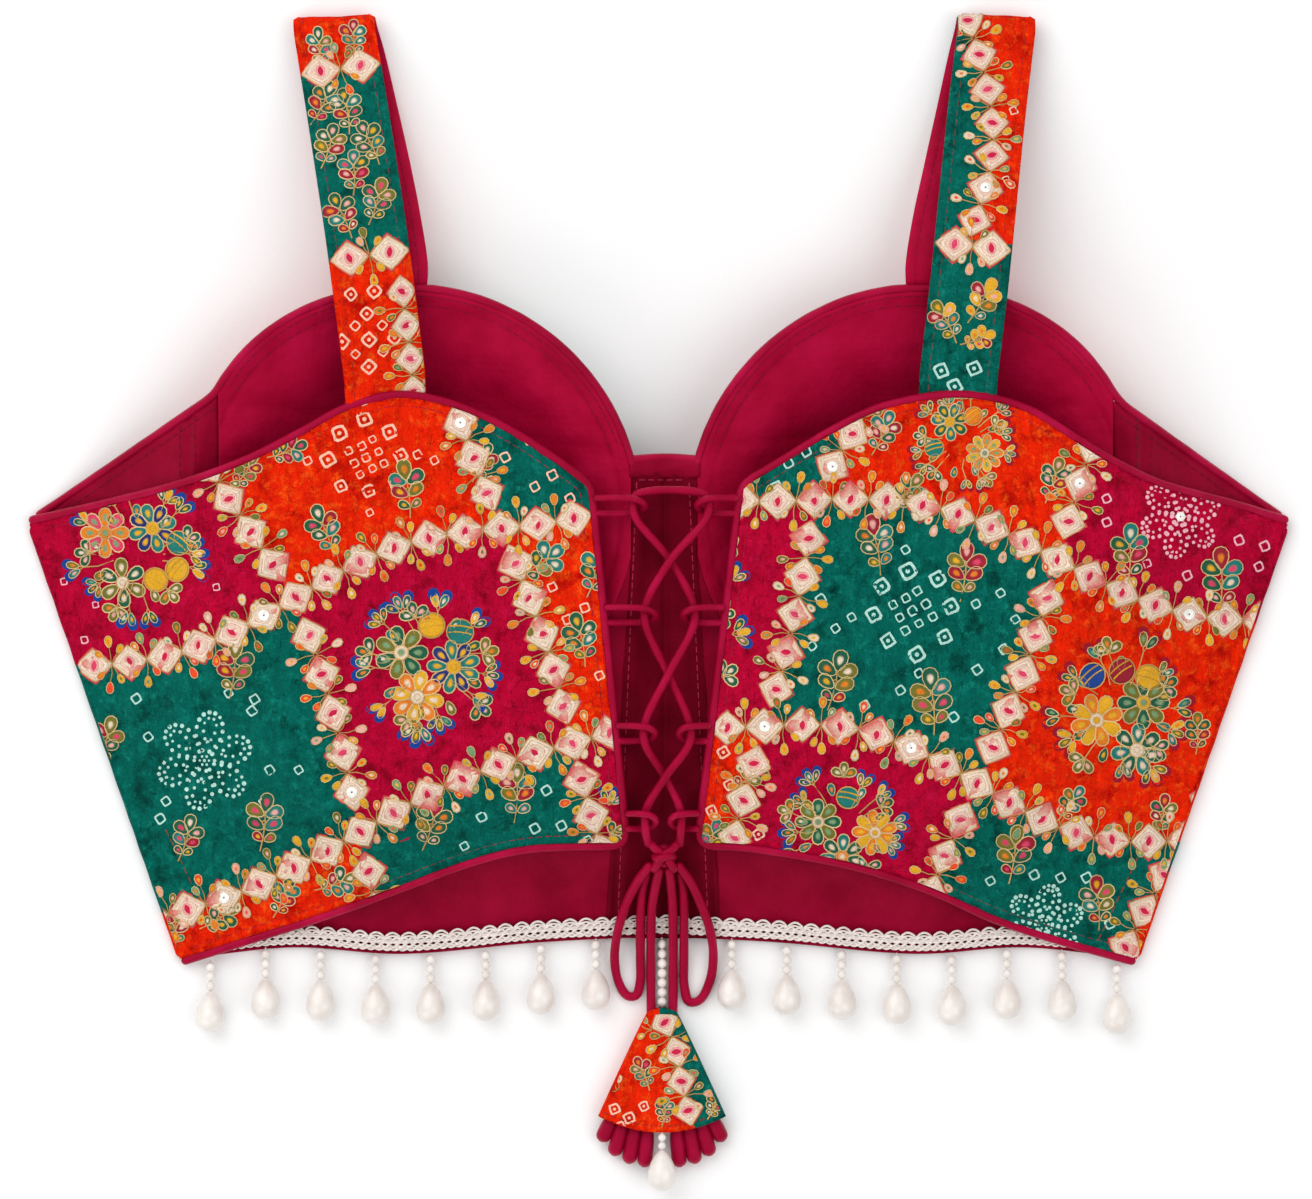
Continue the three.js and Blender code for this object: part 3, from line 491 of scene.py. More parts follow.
def printed_cloth():
    """Three dyed colours in the squares of the pattern's grid, with crinkles and mottled dye; the mottling is partly
    the dye's own uneven colour and partly painted crinkle shade and light.
    """
    f = Finish("printed_cloth", 0.66, 0.04)
    grid = f.node("ShaderNodeUVMap", uv_map="Print").outputs["UV"]
    wobble = f.node("ShaderNodeTexNoise", {"Scale": 1 / (3 * MM), "Vector": f.place}).outputs["Color"]
    shift = f.node("ShaderNodeVectorMath", {0: wobble, "Scale": 0.02}, operation="SCALE").outputs[0]
    moved = f.node("ShaderNodeVectorMath", {0: grid, 1: shift}, operation="ADD").outputs[0]
    parts = f.node("ShaderNodeSeparateXYZ", {0: moved}).outputs
    column, row = (f.math("FLOOR", parts[axis]) for axis in ("X", "Y"))
    index = f.math("MODULO", f.math("ADD", f.math("SUBTRACT", column, row), 30), 3)
    which = f.math("DIVIDE", f.math("ADD", index, 0.5), 3)
    # Dark, middle and light tones of each dye: the dark and light tones are partly uneven dye and partly painted shade
    # and light of crinkles.
    dye_tones_and_painted_shade = [
        f.ramp(which, [(k * 0.3335, rgb(*dye)) for k, dye in enumerate(dyes)], "CONSTANT")
        for dyes in (
            ((140, 0, 30), (186, 8, 1), (0, 66, 58)),
            ((187, 2, 50), (240, 36, 2), (1, 100, 88)),
            ((200, 12, 66), (252, 88, 16), (14, 130, 114)),
        )
    ]
    # Noise mixes in the dark tones and then the light ones: uneven dye, and painted crinkle shade and light.
    patches = f.grey(f.noise(8, 6, roughness=0.66), 0.34, 0, 0.5, 1)
    bleach_and_painted_light = f.grey(f.noise(3.6, 5, roughness=0.72), 0.52, 0, 0.7, 1)
    base = f.mix(f.mix(dye_tones_and_painted_shade[0], dye_tones_and_painted_shade[1], patches), dye_tones_and_painted_shade[2], bleach_and_painted_light)
    # The streaks darken the colour where they also make the bump low: painted shade in the crinkles.
    streaks_and_painted_shade = f.noise(2.6, 4, vector=f.stretched((1, 0.22, 1), 0.5), roughness=0.6)
    dye = f.mix(base, f.grey(streaks_and_painted_shade, 0.3, 0.78, 0.7, 1.08), 1.0, "MULTIPLY")
    return f.finish(
        dye, (f.noise(6.5, 5, roughness=0.62), 4.2), (streaks_and_painted_shade, 1.5), (f.weave(0.42), 0.05)
    )


def plain_cloth(name, dark, base, light, roughness, gloss, depth):
    f = Finish(name, roughness, gloss, Specular_Tint=rgb(255, 90, 130))
    patches, fine, threads = f.noise(16, 4), f.noise(1.3, 3), f.weave(0.4)
    body = f.ramp(patches, [(0.3, rgb(*dark)), (0.52, rgb(*base)), (0.75, rgb(*light))])
    grey = f.grey(f.mix(threads, fine, 0.5), 0.1, 0.86, 0.8, 1.06)
    body = f.mix(body, grey, 1.0, "MULTIPLY")
    return f.finish(body, (patches, depth), (f.noise(4, 3), 0.22), (threads, 0.05))


def tinted(name, roughness, fleck, depth, **sockets):
    """Thread, ink or glass, with each stitch's own colour from the mesh."""
    f = Finish(name, roughness, **sockets)
    tint = f.node("ShaderNodeAttribute", attribute_name="Tint").outputs["Color"]
    fine = f.noise(fleck, 3)
    return f.finish(f.mix(tint, f.grey(fine, 0.3, 0.74, 0.7, 1.12), 1.0, "MULTIPLY"), (fine, depth))


def lace_thread():
    f = Finish("lace_thread", 0.7)
    fibres = f.noise(0.5, 3, vector=f.stretched((0.4, 1, 1), 0.6))
    return f.finish(f.ramp(fibres, [(0.3, rgb(205, 192, 186)), (0.7, rgb(246, 238, 232))]), (fibres, 0.15))


def pearl_glaze():
    f = Finish("pearl_glaze", 0.3, 0.5, Coat_Weight=0.5, Coat_Roughness=0.15)
    cloud = f.ramp(f.noise(7, 3), [(0.35, rgb(224, 215, 208)), (0.65, rgb(236, 230, 224))])
    return f.finish(cloud, (f.noise(0.8, 2), 0.01))


PRINT = printed_cloth()
# The lining, and two darker copies of it: painted shade for the lining that lies under and between the back panels,
# darkest in the gap under the lacing.
LINING, SHADED_LINING, DEEP_SHADE_LINING, TRIM = (
    plain_cloth(f"{name}_cloth", *settings)
    for name, *settings in (
        ("lining", (156, 1, 42), (169, 5, 50), (180, 10, 60), 0.45, 0.35, 0.6),
        ("dark_lining", (126, 1, 32), (140, 4, 39), (152, 8, 46), 0.5, 0.25, 0.6),
        ("deep_lining", (92, 0, 18), (108, 2, 24), (122, 5, 32), 0.55, 0.2, 0.6),
        ("trim", (140, 0, 38), (158, 3, 48), (178, 12, 64), 0.36, 0.5, 0.25),
    )
)
FLOSS = tinted("floss", 0.5, 0.5, 0.12, gloss=0.2)
GOLD = tinted("gold_thread", 0.38, 0.35, 0.12, gloss=0.3, Metallic=0.3)
INK = tinted("ink", 0.7, 0.8, 0.05)
SEQUIN = tinted("sequin", 0.2, 1.5, 0.02, gloss=0.5, Coat_Weight=0.5)
STITCH = tinted("stitch", 0.5, 0.4, 0.08)
LACE = lace_thread()
PEARL = pearl_glaze()


# ---- meshes --------------------------------------------------------------------------------------
class Form:
    """Points and faces in millimetres that become one piece."""

    def __init__(self):
        self.points, self.faces, self.slots, self.flats = [], [], [], []
        self.tints, self.grids, self.count = [], [], 0

    def add(self, points, faces, slot=0, flat=False, tint=None, grid=None):
        points = np.asarray(points, float).reshape(-1, 3)
        for face in faces:
            self.face(np.asarray(face, int) + self.count, slot, flat)
        self.points.append(points)
        self.tints.append(np.broadcast_to((1, 1, 1) if tint is None else tint, points.shape))
        self.grids.append(np.zeros((len(points), 2)) if grid is None else np.reshape(grid, (-1, 2)))
        self.count += len(points)
        return self

    def face(self, faces, slot=0, flat=False):
        """Faces between points that are already there."""
        self.faces.append(np.asarray(faces, int))
        self.slots.append(np.full(len(faces), slot))
        self.flats.append(np.full(len(faces), flat))

    def piece(self, name, materials, slot=None, replaces=()):
        def put(target, key, values, kind=np.int32):
            target.foreach_set(key, np.asarray(values).astype(kind).ravel())

        mesh = bpy.data.meshes.new(name)
        points = np.concatenate(self.points) * MM
        sizes = np.concatenate([np.full(len(f), f.shape[1]) for f in self.faces])
        loops = np.concatenate([f.ravel() for f in self.faces])
        for target, values in ((mesh.vertices, points), (mesh.loops, loops), (mesh.polygons, sizes)):
            target.add(len(values))
        put(mesh.vertices, "co", points, np.float32)
        put(mesh.loops, "vertex_index", loops)
        put(mesh.polygons, "loop_start", np.cumsum(sizes) - sizes)
        put(mesh.polygons, "material_index", np.concatenate(self.slots))
        mesh.update(calc_edges=True)
        put(mesh.polygons, "use_smooth", ~np.concatenate(self.flats), bool)
        grid = mesh.uv_layers.new(name="Print")
        put(grid.data, "uv", np.concatenate(self.grids)[loops], np.float32)
        tint = mesh.attributes.new("Tint", "FLOAT_COLOR", "POINT")
        tints = np.column_stack([np.concatenate(self.tints), np.ones(len(points))])
        put(tint.data, "color", tints, np.float32)
        for material in materials:
            mesh.materials.append(material)
        mesh.validate()
        made = bpy.data.objects.new(name, mesh)
        bpy.context.scene.collection.objects.link(made)
        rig.ride(made, "root")
        if slot:
            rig.slot(made, slot)
        if replaces:
            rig.replaces(made, *replaces)
        return made


def strip_faces(rings, around, closed=True):
    """Quads between rings of that many points each."""
    index = np.arange(rings * around).reshape(rings, around)
    nxt = np.roll(index, -1, axis=1) if closed else index[:, 1:]
    here = index if closed else index[:, :-1]
    return np.stack([here[:-1], nxt[:-1], nxt[1:], here[1:]], axis=-1).reshape(-1, 4)


def rim_of(index):
    """The numbers round the edge of a grid of points, in order."""
    return np.concatenate([index[:, 0], index[-1, 1:], index[-2::-1, -1], index[0, -2:0:-1]])


def around_at(count):
    """Angles evenly spaced round a circle."""
    return np.linspace(0, 2 * np.pi, count, endpoint=False)


def tube(form, line, radius, sides=10, slot=0, tint=None, flatten=1.0, caps=True):
    """A round cord along a line, closed with rounded ends. flatten squeezes it in height."""
    line = np.asarray(line, float)
    along = unit(np.gradient(line, axis=0))
    if caps:
        r0, r1 = np.broadcast_to(radius, len(line))[[0, -1]]
        ends = [(0.9, 0.35), (0.6, 0.8)]
        head = [line[0] - along[0] * r0 * back for back, _ in ends]
        tail = [line[-1] + along[-1] * r1 * back for back, _ in reversed(ends)]
        widths = np.broadcast_to(radius, len(line))
        radius = np.concatenate(
            [[r0 * s for _, s in ends], widths, [r1 * s for _, s in reversed(ends)]]
        )
        line = np.vstack([head, line, tail])
        along = np.vstack([along[:1]] * 2 + [along] + [along[-1:]] * 2)
    side = np.zeros_like(line)
    start = np.array([0, 0, 1.0])
    if abs(along[0] @ start) > 0.9:
        start = np.array([1.0, 0, 0])
    normal = unit(start - along[0] * (along[0] @ start))
    for i, a in enumerate(along):
        normal = unit(normal - a * (a @ normal))
        side[i] = normal
    other = np.cross(along, side)
    turn = around_at(sides)
    widths = np.broadcast_to(radius, len(line))[:, None, None]
    ring = side[:, None] * np.cos(turn)[None, :, None] + other[:, None] * np.sin(turn)[None, :, None]
    ring = ring * widths
    ring[..., 2] *= flatten
    points = (line[:, None] + ring).reshape(-1, 3)
    faces = [strip_faces(len(line), sides)]
    first = np.arange(sides)
    last = first + (len(line) - 1) * sides
    faces.append(first[::-1][None])
    faces.append(last[None])
    form.add(points, faces, slot, tint=tint)
    return form


def shell(form, xy, low, high, top_slot=0, low_slot=1, grid=None):
    """A closed sheet over a grid of places, with its own face above and below."""
    n, m = xy.shape[:2]
    index = np.arange(n * m).reshape(n, m)
    quads = np.stack([index[:-1, :-1], index[1:, :-1], index[1:, 1:], index[:-1, 1:]], -1)
    quads = quads.reshape(-1, 4)
    a, b, c = xy[0, 0], xy[1, 0], xy[1, 1]
    turned = (b[0] - a[0]) * (c[1] - a[1]) - (b[1] - a[1]) * (c[0] - a[0]) < 0
    if turned:
        quads = quads[:, ::-1]
    base = form.count
    flat = xy.reshape(-1, 2)
    upper = np.column_stack([flat, np.ravel(high)])
    lower = np.column_stack([flat, np.ravel(low)])
    form.add(upper, [quads], top_slot, grid=grid)
    form.add(lower, [quads[:, ::-1]], low_slot, grid=grid)
    rim = rim_of(index)
    nxt = np.roll(rim, -1)
    sides = np.column_stack([rim, rim + n * m, nxt + n * m, nxt]) + base
    form.face(sides if not turned else sides[:, ::-1], top_slot, flat=True)
    return form


def between(start, end, sections, points, power=1.0):
    """A grid of places in plan, in sections from one edge to another."""
    s = np.linspace(0, 1, sections + 1)
    a, b = start(s)[:, None, :2], end(s)[:, None, :2]
    w = (np.linspace(0, 1, points + 1) ** power)[None, :, None]
    return a * (1 - w) + b * w


class Outline:
    """A closed edge in plan, to measure how far inside it a place is."""

    def __init__(self, points):
        self.a = np.asarray(points, float)[:, :2]
        self.b = np.roll(self.a, -1, axis=0)

    def measure(self, xy):
        """How far inside each place is (negative outside), and the nearest place on the edge."""
        xy = np.reshape(xy, (-1, 2))
        depth, nearest = np.empty(len(xy)), np.empty_like(xy)
        span = self.b - self.a
        length2 = np.maximum((span**2).sum(1), 1e-9)
        for start in range(0, len(xy), 8000):
            p = xy[start : start + 8000]
            away = p[:, None] - self.a
            t = np.clip((away * span).sum(-1) / length2, 0, 1)
            foot = self.a + t[..., None] * span
            gap = np.linalg.norm(p[:, None] - foot, axis=-1)
            best = gap.argmin(1)
            rows = np.arange(len(p))
            above = (self.a[:, 1] > p[:, 1:2]) != (self.b[:, 1] > p[:, 1:2])
            cross_x = self.a[:, 0] + (p[:, 1:2] - self.a[:, 1]) * span[:, 0] / np.where(
                span[:, 1] == 0, 1e-9, span[:, 1]
            )
            inside = (above & (p[:, 0:1] < cross_x)).sum(1) % 2 == 1
            depth[start : start + 8000] = np.where(inside, gap[rows, best], -gap[rows, best])
            nearest[start : start + 8000] = foot[rows, best]
        return depth, nearest


# ---- embroidery ----------------------------------------------------------------------------------
CREAM, IVORY, BLUSH, ROSE = rgb(226, 204, 178), rgb(236, 220, 198), rgb(228, 166, 154), rgb(214, 60, 96)
CRIMSON, YELLOW, AMBER, LEAF = rgb(200, 10, 66), rgb(222, 164, 24), rgb(222, 122, 24), rgb(14, 86, 60)
TEAL, BLUE, NAVY, MAROON = rgb(14, 116, 108), rgb(14, 62, 140), rgb(18, 38, 104), rgb(150, 16, 40)
PALE_GREEN, PALE_PINK = rgb(176, 218, 206), rgb(238, 176, 190)
OLIVE, WHITE, SAGE, FLAME = rgb(112, 108, 34), rgb(250, 246, 240), rgb(118, 152, 108), rgb(230, 70, 30)
GOLD_TINT, PALE_GOLD = rgb(206, 164, 96), rgb(226, 198, 142)
KINDS = {"floss": 0, "gold": 1, "ink": 2, "sequin": 3, "stitch": 4}
EMBROIDERY = [FLOSS, GOLD, INK, SEQUIN, STITCH]


def strips(n, rows, closed=True):
    """Triangles between rows of n points each."""
    here = np.arange(n if closed else n - 1)
    nxt = (here + 1) % n
    faces = [np.empty((0, 3), int)]
    for row in range(0, (rows - 1) * n, n):
        a, b, c, d = here + row, nxt + row, nxt + row + n, here + row + n
        faces += [np.column_stack([a, b, c]), np.column_stack([a, c, d])]
    return np.concatenate(faces)


class Stitchery:
    """Fills, threads and print in the flat coordinates of one surface."""

    def __init__(self, seed):
        self.xy, self.lift, self.tint, self.faces, self.kind, self.count = [], [], [], [], [], 0
        self.rng = np.random.default_rng(seed)

    def add(self, xy, lift, tint, faces, kind):
        self.xy.append(xy)
        self.lift.append(np.broadcast_to(lift, len(xy)))
        self.tint.append(np.broadcast_to(tint, (len(xy), 3)))
        self.faces.append(faces + self.count)
        self.kind.append(np.full(len(faces), KINDS[kind]))
        self.count += len(xy)

    def pick(self, *options):
        return options[self.rng.integers(len(options))]

    def fill(self, ring, layers, kind="floss"):
        """Rings that shrink towards the middle: each layer is a share, a lift and a colour."""
        middle, n, rings = ring.mean(0), len(ring), len(layers) - 1
        xy = [middle + (ring - middle) * share for share, _, _ in layers[:-1]] + [middle[None]]
        lift = np.concatenate([np.full(n, h) for _, h, _ in layers[:-1]] + [[layers[-1][1]]])
        tint = np.concatenate([np.tile(c, (n, 1)) for _, _, c in layers[:-1]] + [[layers[-1][2]]])
        last = np.arange(n) + (rings - 1) * n
        fan = np.column_stack([last, np.roll(last, -1), np.full(n, rings * n)])
        self.add(np.concatenate(xy), lift, tint, np.vstack([strips(n, rings), fan]), kind)

    def thread(self, line, width, lift, tint=GOLD_TINT, closed=True, kind="gold", base=0.05):
        n = len(line)
        if closed:
            along = unit(np.roll(line, -1, axis=0) - np.roll(line, 1, axis=0))
        else:
            along = unit(np.gradient(line, axis=0))
        across = np.column_stack([-along[:, 1], along[:, 0]]) * width / 2
        xy = np.concatenate([line + across, line, line - across])
        lifts = np.repeat([base, lift, base], n)
        shade = np.asarray(tint) * self.rng.uniform(0.8, 1.12)
        self.add(xy, lifts, np.clip(shade, 0, 1), strips(n, 3, closed)[:, ::-1], kind)

    def piece(self, name, place, outline=None):
        """The finished mesh, mapped to its surface, with what passes the outline cut off."""
        xy, lift = np.concatenate(self.xy), np.concatenate(self.lift)
        faces, kind = np.concatenate(self.faces), np.concatenate(self.kind)
        tint = np.concatenate(self.tint)
        if outline:
            depth, nearest = outline.measure(xy)
            outside = depth < 0
            keep = ~outside[faces].all(1)
            faces, kind = faces[keep], kind[keep]
            xy = np.where(outside[:, None], nearest, xy)
        used = np.unique(faces)
        order = np.full(len(xy), -1)
        order[used] = np.arange(len(used))
        xy, lift, tint, faces = xy[used], lift[used], tint[used], order[faces]
        points = place(xy[:, 0], xy[:, 1], lift)
        a, b, c = (points[faces[:, k]] for k in range(3))
        keep = np.linalg.norm(np.cross(b - a, c - a), axis=1) > 1e-5
        form = Form()
        form.add(points, [], tint=tint)
        for k in range(len(EMBROIDERY)):
            chosen = faces[keep & (kind == k)]
            if len(chosen):
                form.face(chosen, k)
        return form.piece(name, EMBROIDERY)


def turned(points, angle, at):
    c, s = math.cos(angle), math.sin(angle)
    return np.asarray(points) @ np.array([[c, s], [-s, c]]) + np.asarray(at)


def heading(way):
    return np.array([math.cos(way), math.sin(way)])


def oval(at, across, along, angle=0.0, n=12, power=2.0):
    t = around_at(n)
    x, y = np.cos(t), np.sin(t)
    xy = np.column_stack(
        [np.sign(x) * np.abs(x) ** (2 / power) * across, np.sign(y) * np.abs(y) ** (2 / power) * along]
    )
    return turned(xy, angle, at)


def petal(at, angle, length, width, n=12):
    """A drop shape that starts at a point and is widest towards its end."""
    t = around_at(n)
    xy = np.column_stack([length * (1 - np.cos(t)) / 2, width / 2 * np.sin(t) * (1 - 0.3 * np.cos(t))])
    return turned(xy, angle, at)


def worked_petal(s, at, angle, length, width, colour, heart=None, n=12, gold=0.46, up=0.0):
    ring = petal(at, angle, length, width, n)
    heart = colour if heart is None else heart
    s.fill(
        ring,
        [(1, up + 0.08, colour), (0.52, up + 0.26, colour), (0.26, up + 0.28, heart),
         (0, up + 0.3, heart)],
    )  # fmt: skip
    s.thread(ring, gold, up + 0.46, PALE_GOLD)


def sprig(s, at, angle, size=1.0):
    """Small leaves on thin stems."""
    palette = [CREAM, YELLOW, BLUSH, SAGE, AMBER, OLIVE, YELLOW, FLAME, AMBER, YELLOW]
    for spread, reach in ((-0.62, 3.9), (0.62, 3.9), (0, 5.9)):
        way = angle + spread + s.rng.uniform(-0.16, 0.16)
        direction = heading(way)
        foot = np.asarray(at) + direction * reach * size * s.rng.uniform(0.9, 1.1)
        bend = np.array([-direction[1], direction[0]]) * s.rng.uniform(-0.5, 0.5)
        start = np.asarray(at) + direction * 0.4
        stem = np.array([start, (start + foot) / 2 + bend, foot])
        s.thread(stem, 0.36, 0.62, closed=False)
        colour, heart = (palette[k] for k in s.rng.integers(len(palette), size=2))
        long = 4.0 if spread == 0 else 3.4
        worked_petal(s, foot, way, long * size, long * 0.62 * size, colour, heart, 9, 0.4, 0.26)


def diamond(s, at, angle, along, across):
    """One cream diamond of the chains, with its corners along the chain."""
    at = np.asarray(at, float)
    along, across = np.array([along, across]) * s.rng.uniform(0.95, 1.04, 2)
    warmth = s.rng.uniform(0, 1)
    cream = tuple(np.array(CREAM) * warmth + np.array(rgb(226, 186, 168)) * (1 - warmth))
    s.fill(
        oval(at, along * 1.06, across * 1.12, angle, 20, 1.08),
        [(1, 0.06, rgb(204, 44, 66)), (0, 0.06, CREAM)],
        "ink",
    )
    ring = oval(at, along, across, angle, 20, 1.06)
    ring = at + (ring - at) * s.rng.uniform(0.97, 1.02, (20, 1))
    s.fill(
        ring,
        [(1, 0.1, rgb(216, 184, 150)), (0.9, 0.32, cream), (0.6, 0.36, IVORY),
         (0.46, 0.33, cream), (0, 0.33, IVORY)],
    )  # fmt: skip
    s.thread(at + (ring - at) * 0.98, 0.44, 0.48, rgb(206, 160, 96))
    s.thread(at + (ring - at) * 0.76, 0.34, 0.46, rgb(204, 160, 122))
    inner = oval(at, along * 0.5, across * 0.5, angle, 12, 1.5)
    s.thread(inner, 0.44, 0.5, s.pick(rgb(222, 120, 128), rgb(214, 150, 120)))
    for k in range(4):
        way = angle + k * math.pi / 2
        half = across if k % 2 else along
        direction = heading(way)
        spoke = at + direction * np.array([[0.5], [0.98]]) * half
        s.thread(spoke, 0.3, 0.48, rgb(206, 168, 116), closed=False)
    if s.rng.uniform() < 0.08:
        sequin(s, at, 1.9)
        return
    lens = angle + math.pi / 2 + s.rng.uniform(-0.5, 0.5)
    tone = s.pick(CRIMSON, CRIMSON, CRIMSON, ROSE)
    s.fill(oval(at, 2.2, 1.7, lens, 10), [(1, 0.4, rgb(228, 110, 134)), (0.8, 0.42, BLUSH), (0, 0.42, BLUSH)])
    s.fill(oval(at, 1.75, 1.0, lens, 10, 1.6), [(1, 0.44, tone), (0.7, 0.52, tone), (0, 0.54, tone)])


def sequin(s, at, radius):
    ring = oval(at, radius, radius, 0, 14)
    # The dark dot in the middle is painted shade in the sequin's hole.
    dot = rgb(90, 80, 80)
    face = [(1, 0.5, WHITE), (0.8, 0.72, WHITE), (0.2, 0.55, WHITE), (0.14, 0.5, dot), (0, 0.5, dot)]
    s.fill(ring, face, "sequin")


def flower(s, at, radius, petals, colours, heart, centre, turn=0.0):
    """Round a worked centre, with petals in two alternating colours."""
    core = radius * 0.27
    for i in range(petals):
        way = turn + 2 * np.pi * i / petals
        start = np.asarray(at) + heading(way) * core * 0.8
        width = min(radius * 0.5, 2 * np.pi * radius * 0.62 / petals)
        worked_petal(s, start, way, radius - core * 0.8, width, colours[i % len(colours)], heart)
    ring = oval(at, core, core, 0, 12)
    s.fill(ring, [(1, 0.2, centre), (0.7, 0.5, centre), (0.3, 0.58, heart), (0, 0.6, heart)])
    s.thread(ring, 0.44, 0.6)
    s.thread(oval(at, core * 0.45, core * 0.45, 0, 8), 0.35, 0.75)


def ball(s, at, radius, colour, turn):
    ring = oval(at, radius, radius * 0.94, turn, 16)
    # The ball's rim is painted darker: painted shade where its dome falls away.
    deep = tuple(np.array(colour) * 0.6)
    s.fill(ring, [(1, 0.1, deep), (0.8, 0.35, colour), (0.4, 0.4, colour), (0, 0.42, colour)])
    s.thread(ring, 0.5, 0.55)
    # Two yellow lines across the ball are painted highlights.
    reach = np.linspace(-0.86, 0.86, 7)
    for rise in (-0.16, 0.3):
        line = turned(np.column_stack([reach, rise + 0.14 * (1 - reach**2)]) * radius, turn, at)
        s.thread(line, 0.5, 0.64, YELLOW, closed=False, base=0.38)


def leaf_spray(s, at, angle, under, count=3, size=1.0):
    """Leaves on a stem, each with a dyed shadow showing past its tip."""
    for i in range(count):
        spread = (i - (count - 1) / 2) * 0.75
        way = angle + spread
        direction = heading(way)
        foot = np.asarray(at) + direction * 1.6 * size
        shadow = petal(foot + direction * 0.5, way, 6.3 * size, 3.9 * size, 10)
        s.fill(shadow, [(1, 0.08, under), (0, 0.1, under)], "ink")
        s.thread(np.array([at, (np.asarray(at) + foot) / 2, foot]), 0.4, 0.42, closed=False)
        tone = s.pick(LEAF, TEAL, OLIVE, YELLOW)
        heart = s.pick(CREAM, YELLOW, AMBER, SAGE, BLUSH)
        worked_petal(s, foot, way, 5.0 * size, 2.5 * size, tone, heart, 10, 0.42)


def trefoil(s, at, angle, colour, size=1.0):
    for spread in (-1.15, 0, 1.15):
        heart = s.pick(BLUSH, AMBER, CREAM)
        worked_petal(s, at, angle + spread, 5.6 * size, 3.4 * size, colour, heart, 11)
    s.thread(oval(at, 0.7, 0.7, 0, 6), 0.5, 0.6)


def spray_flower(s, at, angle, size=1.0, colour=None):
    """A branch: rounded petals in pairs along a stem, with one at its tip."""
    size = 1.12 * size
    main = LEAF if colour is None else colour
    stem = np.array([(-9.0, 0.9), (-5.0, 0.2), (0, -0.2), (3.2, 0.0)]) * size
    s.thread(turned(stem, angle, at), 0.5, 0.5, closed=False)
    places = [(3.2, 0, 6.4)]
    for along, long in ((2.2, 6.2), (-1.9, 5.7), (-5.6, 3.9)):
        places += [(along, side, long) for side in (-1, 1)]
    for along, side, long in places:
        foot = turned([(along * size, 0.25 * side * size)], angle, at)[0]
        way = angle + side * (1.12 if along > 0 else 0.98) + s.rng.uniform(-0.12, 0.12)
        tone = s.pick(main, main, MAROON, OLIVE, TEAL)
        heart = s.pick(BLUSH, YELLOW, AMBER, ROSE, CREAM)
        long = long * size * s.rng.uniform(0.92, 1.05)
        worked_petal(s, foot, way, long, long * 0.68, tone, heart, 12, 0.4)
    s.thread(oval(at, 0.7, 0.7, 0, 8), 0.45, 0.6)


def hollow_square(s, at, half, turn=0.0, dot=False, colour=None):
    """A tie-dyed square: a soft white outline, some with a dot."""
    tone = rgb(242, 188, 162) if colour is None else colour
    half = half * s.rng.uniform(0.84, 1.04)
    t = np.linspace(0, 2 * np.pi, 17)[:-1]
    shape = np.column_stack([np.cos(t), np.sin(t)])
    shape = np.sign(shape) * np.abs(shape) ** 0.42 * half
    shape = turned(shape * s.rng.uniform(0.92, 1.08, shape.shape), turn, at)
    band(s, shape, 0.66, tone)
    if dot:
        s.fill(oval(at, half * 0.3, half * 0.3, 0, 7), [(1, 0.08, tone), (0, 0.08, tone)], "ink")


def band(s, ring, inner, colour):
    middle = ring.mean(0)
    xy = np.concatenate([ring, middle + (ring - middle) * inner])
    s.add(xy, 0.08, colour, strips(len(ring), 2), "ink")


def dotted(s, line, radius, colour):
    for p in line:
        r = radius * s.rng.uniform(0.8, 1.15)
        s.fill(oval(p, r, r, 0, 7), [(1, 0.08, colour), (0, 0.09, colour)], "ink")


def dotted_flower(s, at, radius, lobes, colour):
    """Tie-dyed dots round each petal of a large flower."""
    for i in range(lobes):
        way = 2 * np.pi * i / lobes + 0.35
        out = heading(way)
        for share, n in ((1.0, 17), (0.52, 9)):
            foot = np.asarray(at) + out * radius * (0.04 if share == 1 else 0.4)
            ring = petal(foot, way, radius * share, radius * (0.54 if share == 1 else 0.26), n)
            dotted(s, ring[2:-1] if share == 1 else ring, 0.72 if share == 1 else 0.58, colour)
    for r, n in ((1.6, 6), (0.0, 1)):
        dotted(s, oval(at, r, r, 0, n), 0.5, colour)


def lattice(s, at, turn, rows, pitch, half, colour=None):
    """Rows of small squares, every other one larger with a dot."""
    n = (rows - 1) / 2
    for i in range(rows):
        for j in range(rows):
            p = turned([((i - n) * pitch, (j - n) * pitch)], turn, at)[0]
            big = (i + j) % 2 == 0
            spot = p + s.rng.uniform(-0.4, 0.4, 2)
            hollow_square(s, spot, half * (1.2 if big else 0.85), turn, big, colour)


def dyed_cluster(s, at, turn, radius, colour=None):
    """Nine small squares inside a ring of eight larger ones with dots, and a few strays."""
    for i in (-1, 0, 1):
        for j in (-1, 0, 1):
            spot = turned([np.array([i, j]) * radius * 0.33], turn, at)[0]
            hollow_square(s, spot + s.rng.uniform(-0.4, 0.4, 2), radius * 0.11, turn, False, colour)
    for i in range(8):
        way = turn + np.pi / 4 * (i + 0.5)
        out = heading(way)
        spot = np.asarray(at) + out * radius * s.rng.uniform(0.84, 1.0)
        hollow_square(s, spot, radius * 0.18, turn + s.rng.uniform(-0.1, 0.1), True, colour)
        if i % 2:
            stray = spot + out * radius * s.rng.uniform(0.42, 0.6)
            hollow_square(s, stray, radius * 0.11, turn, False, colour)


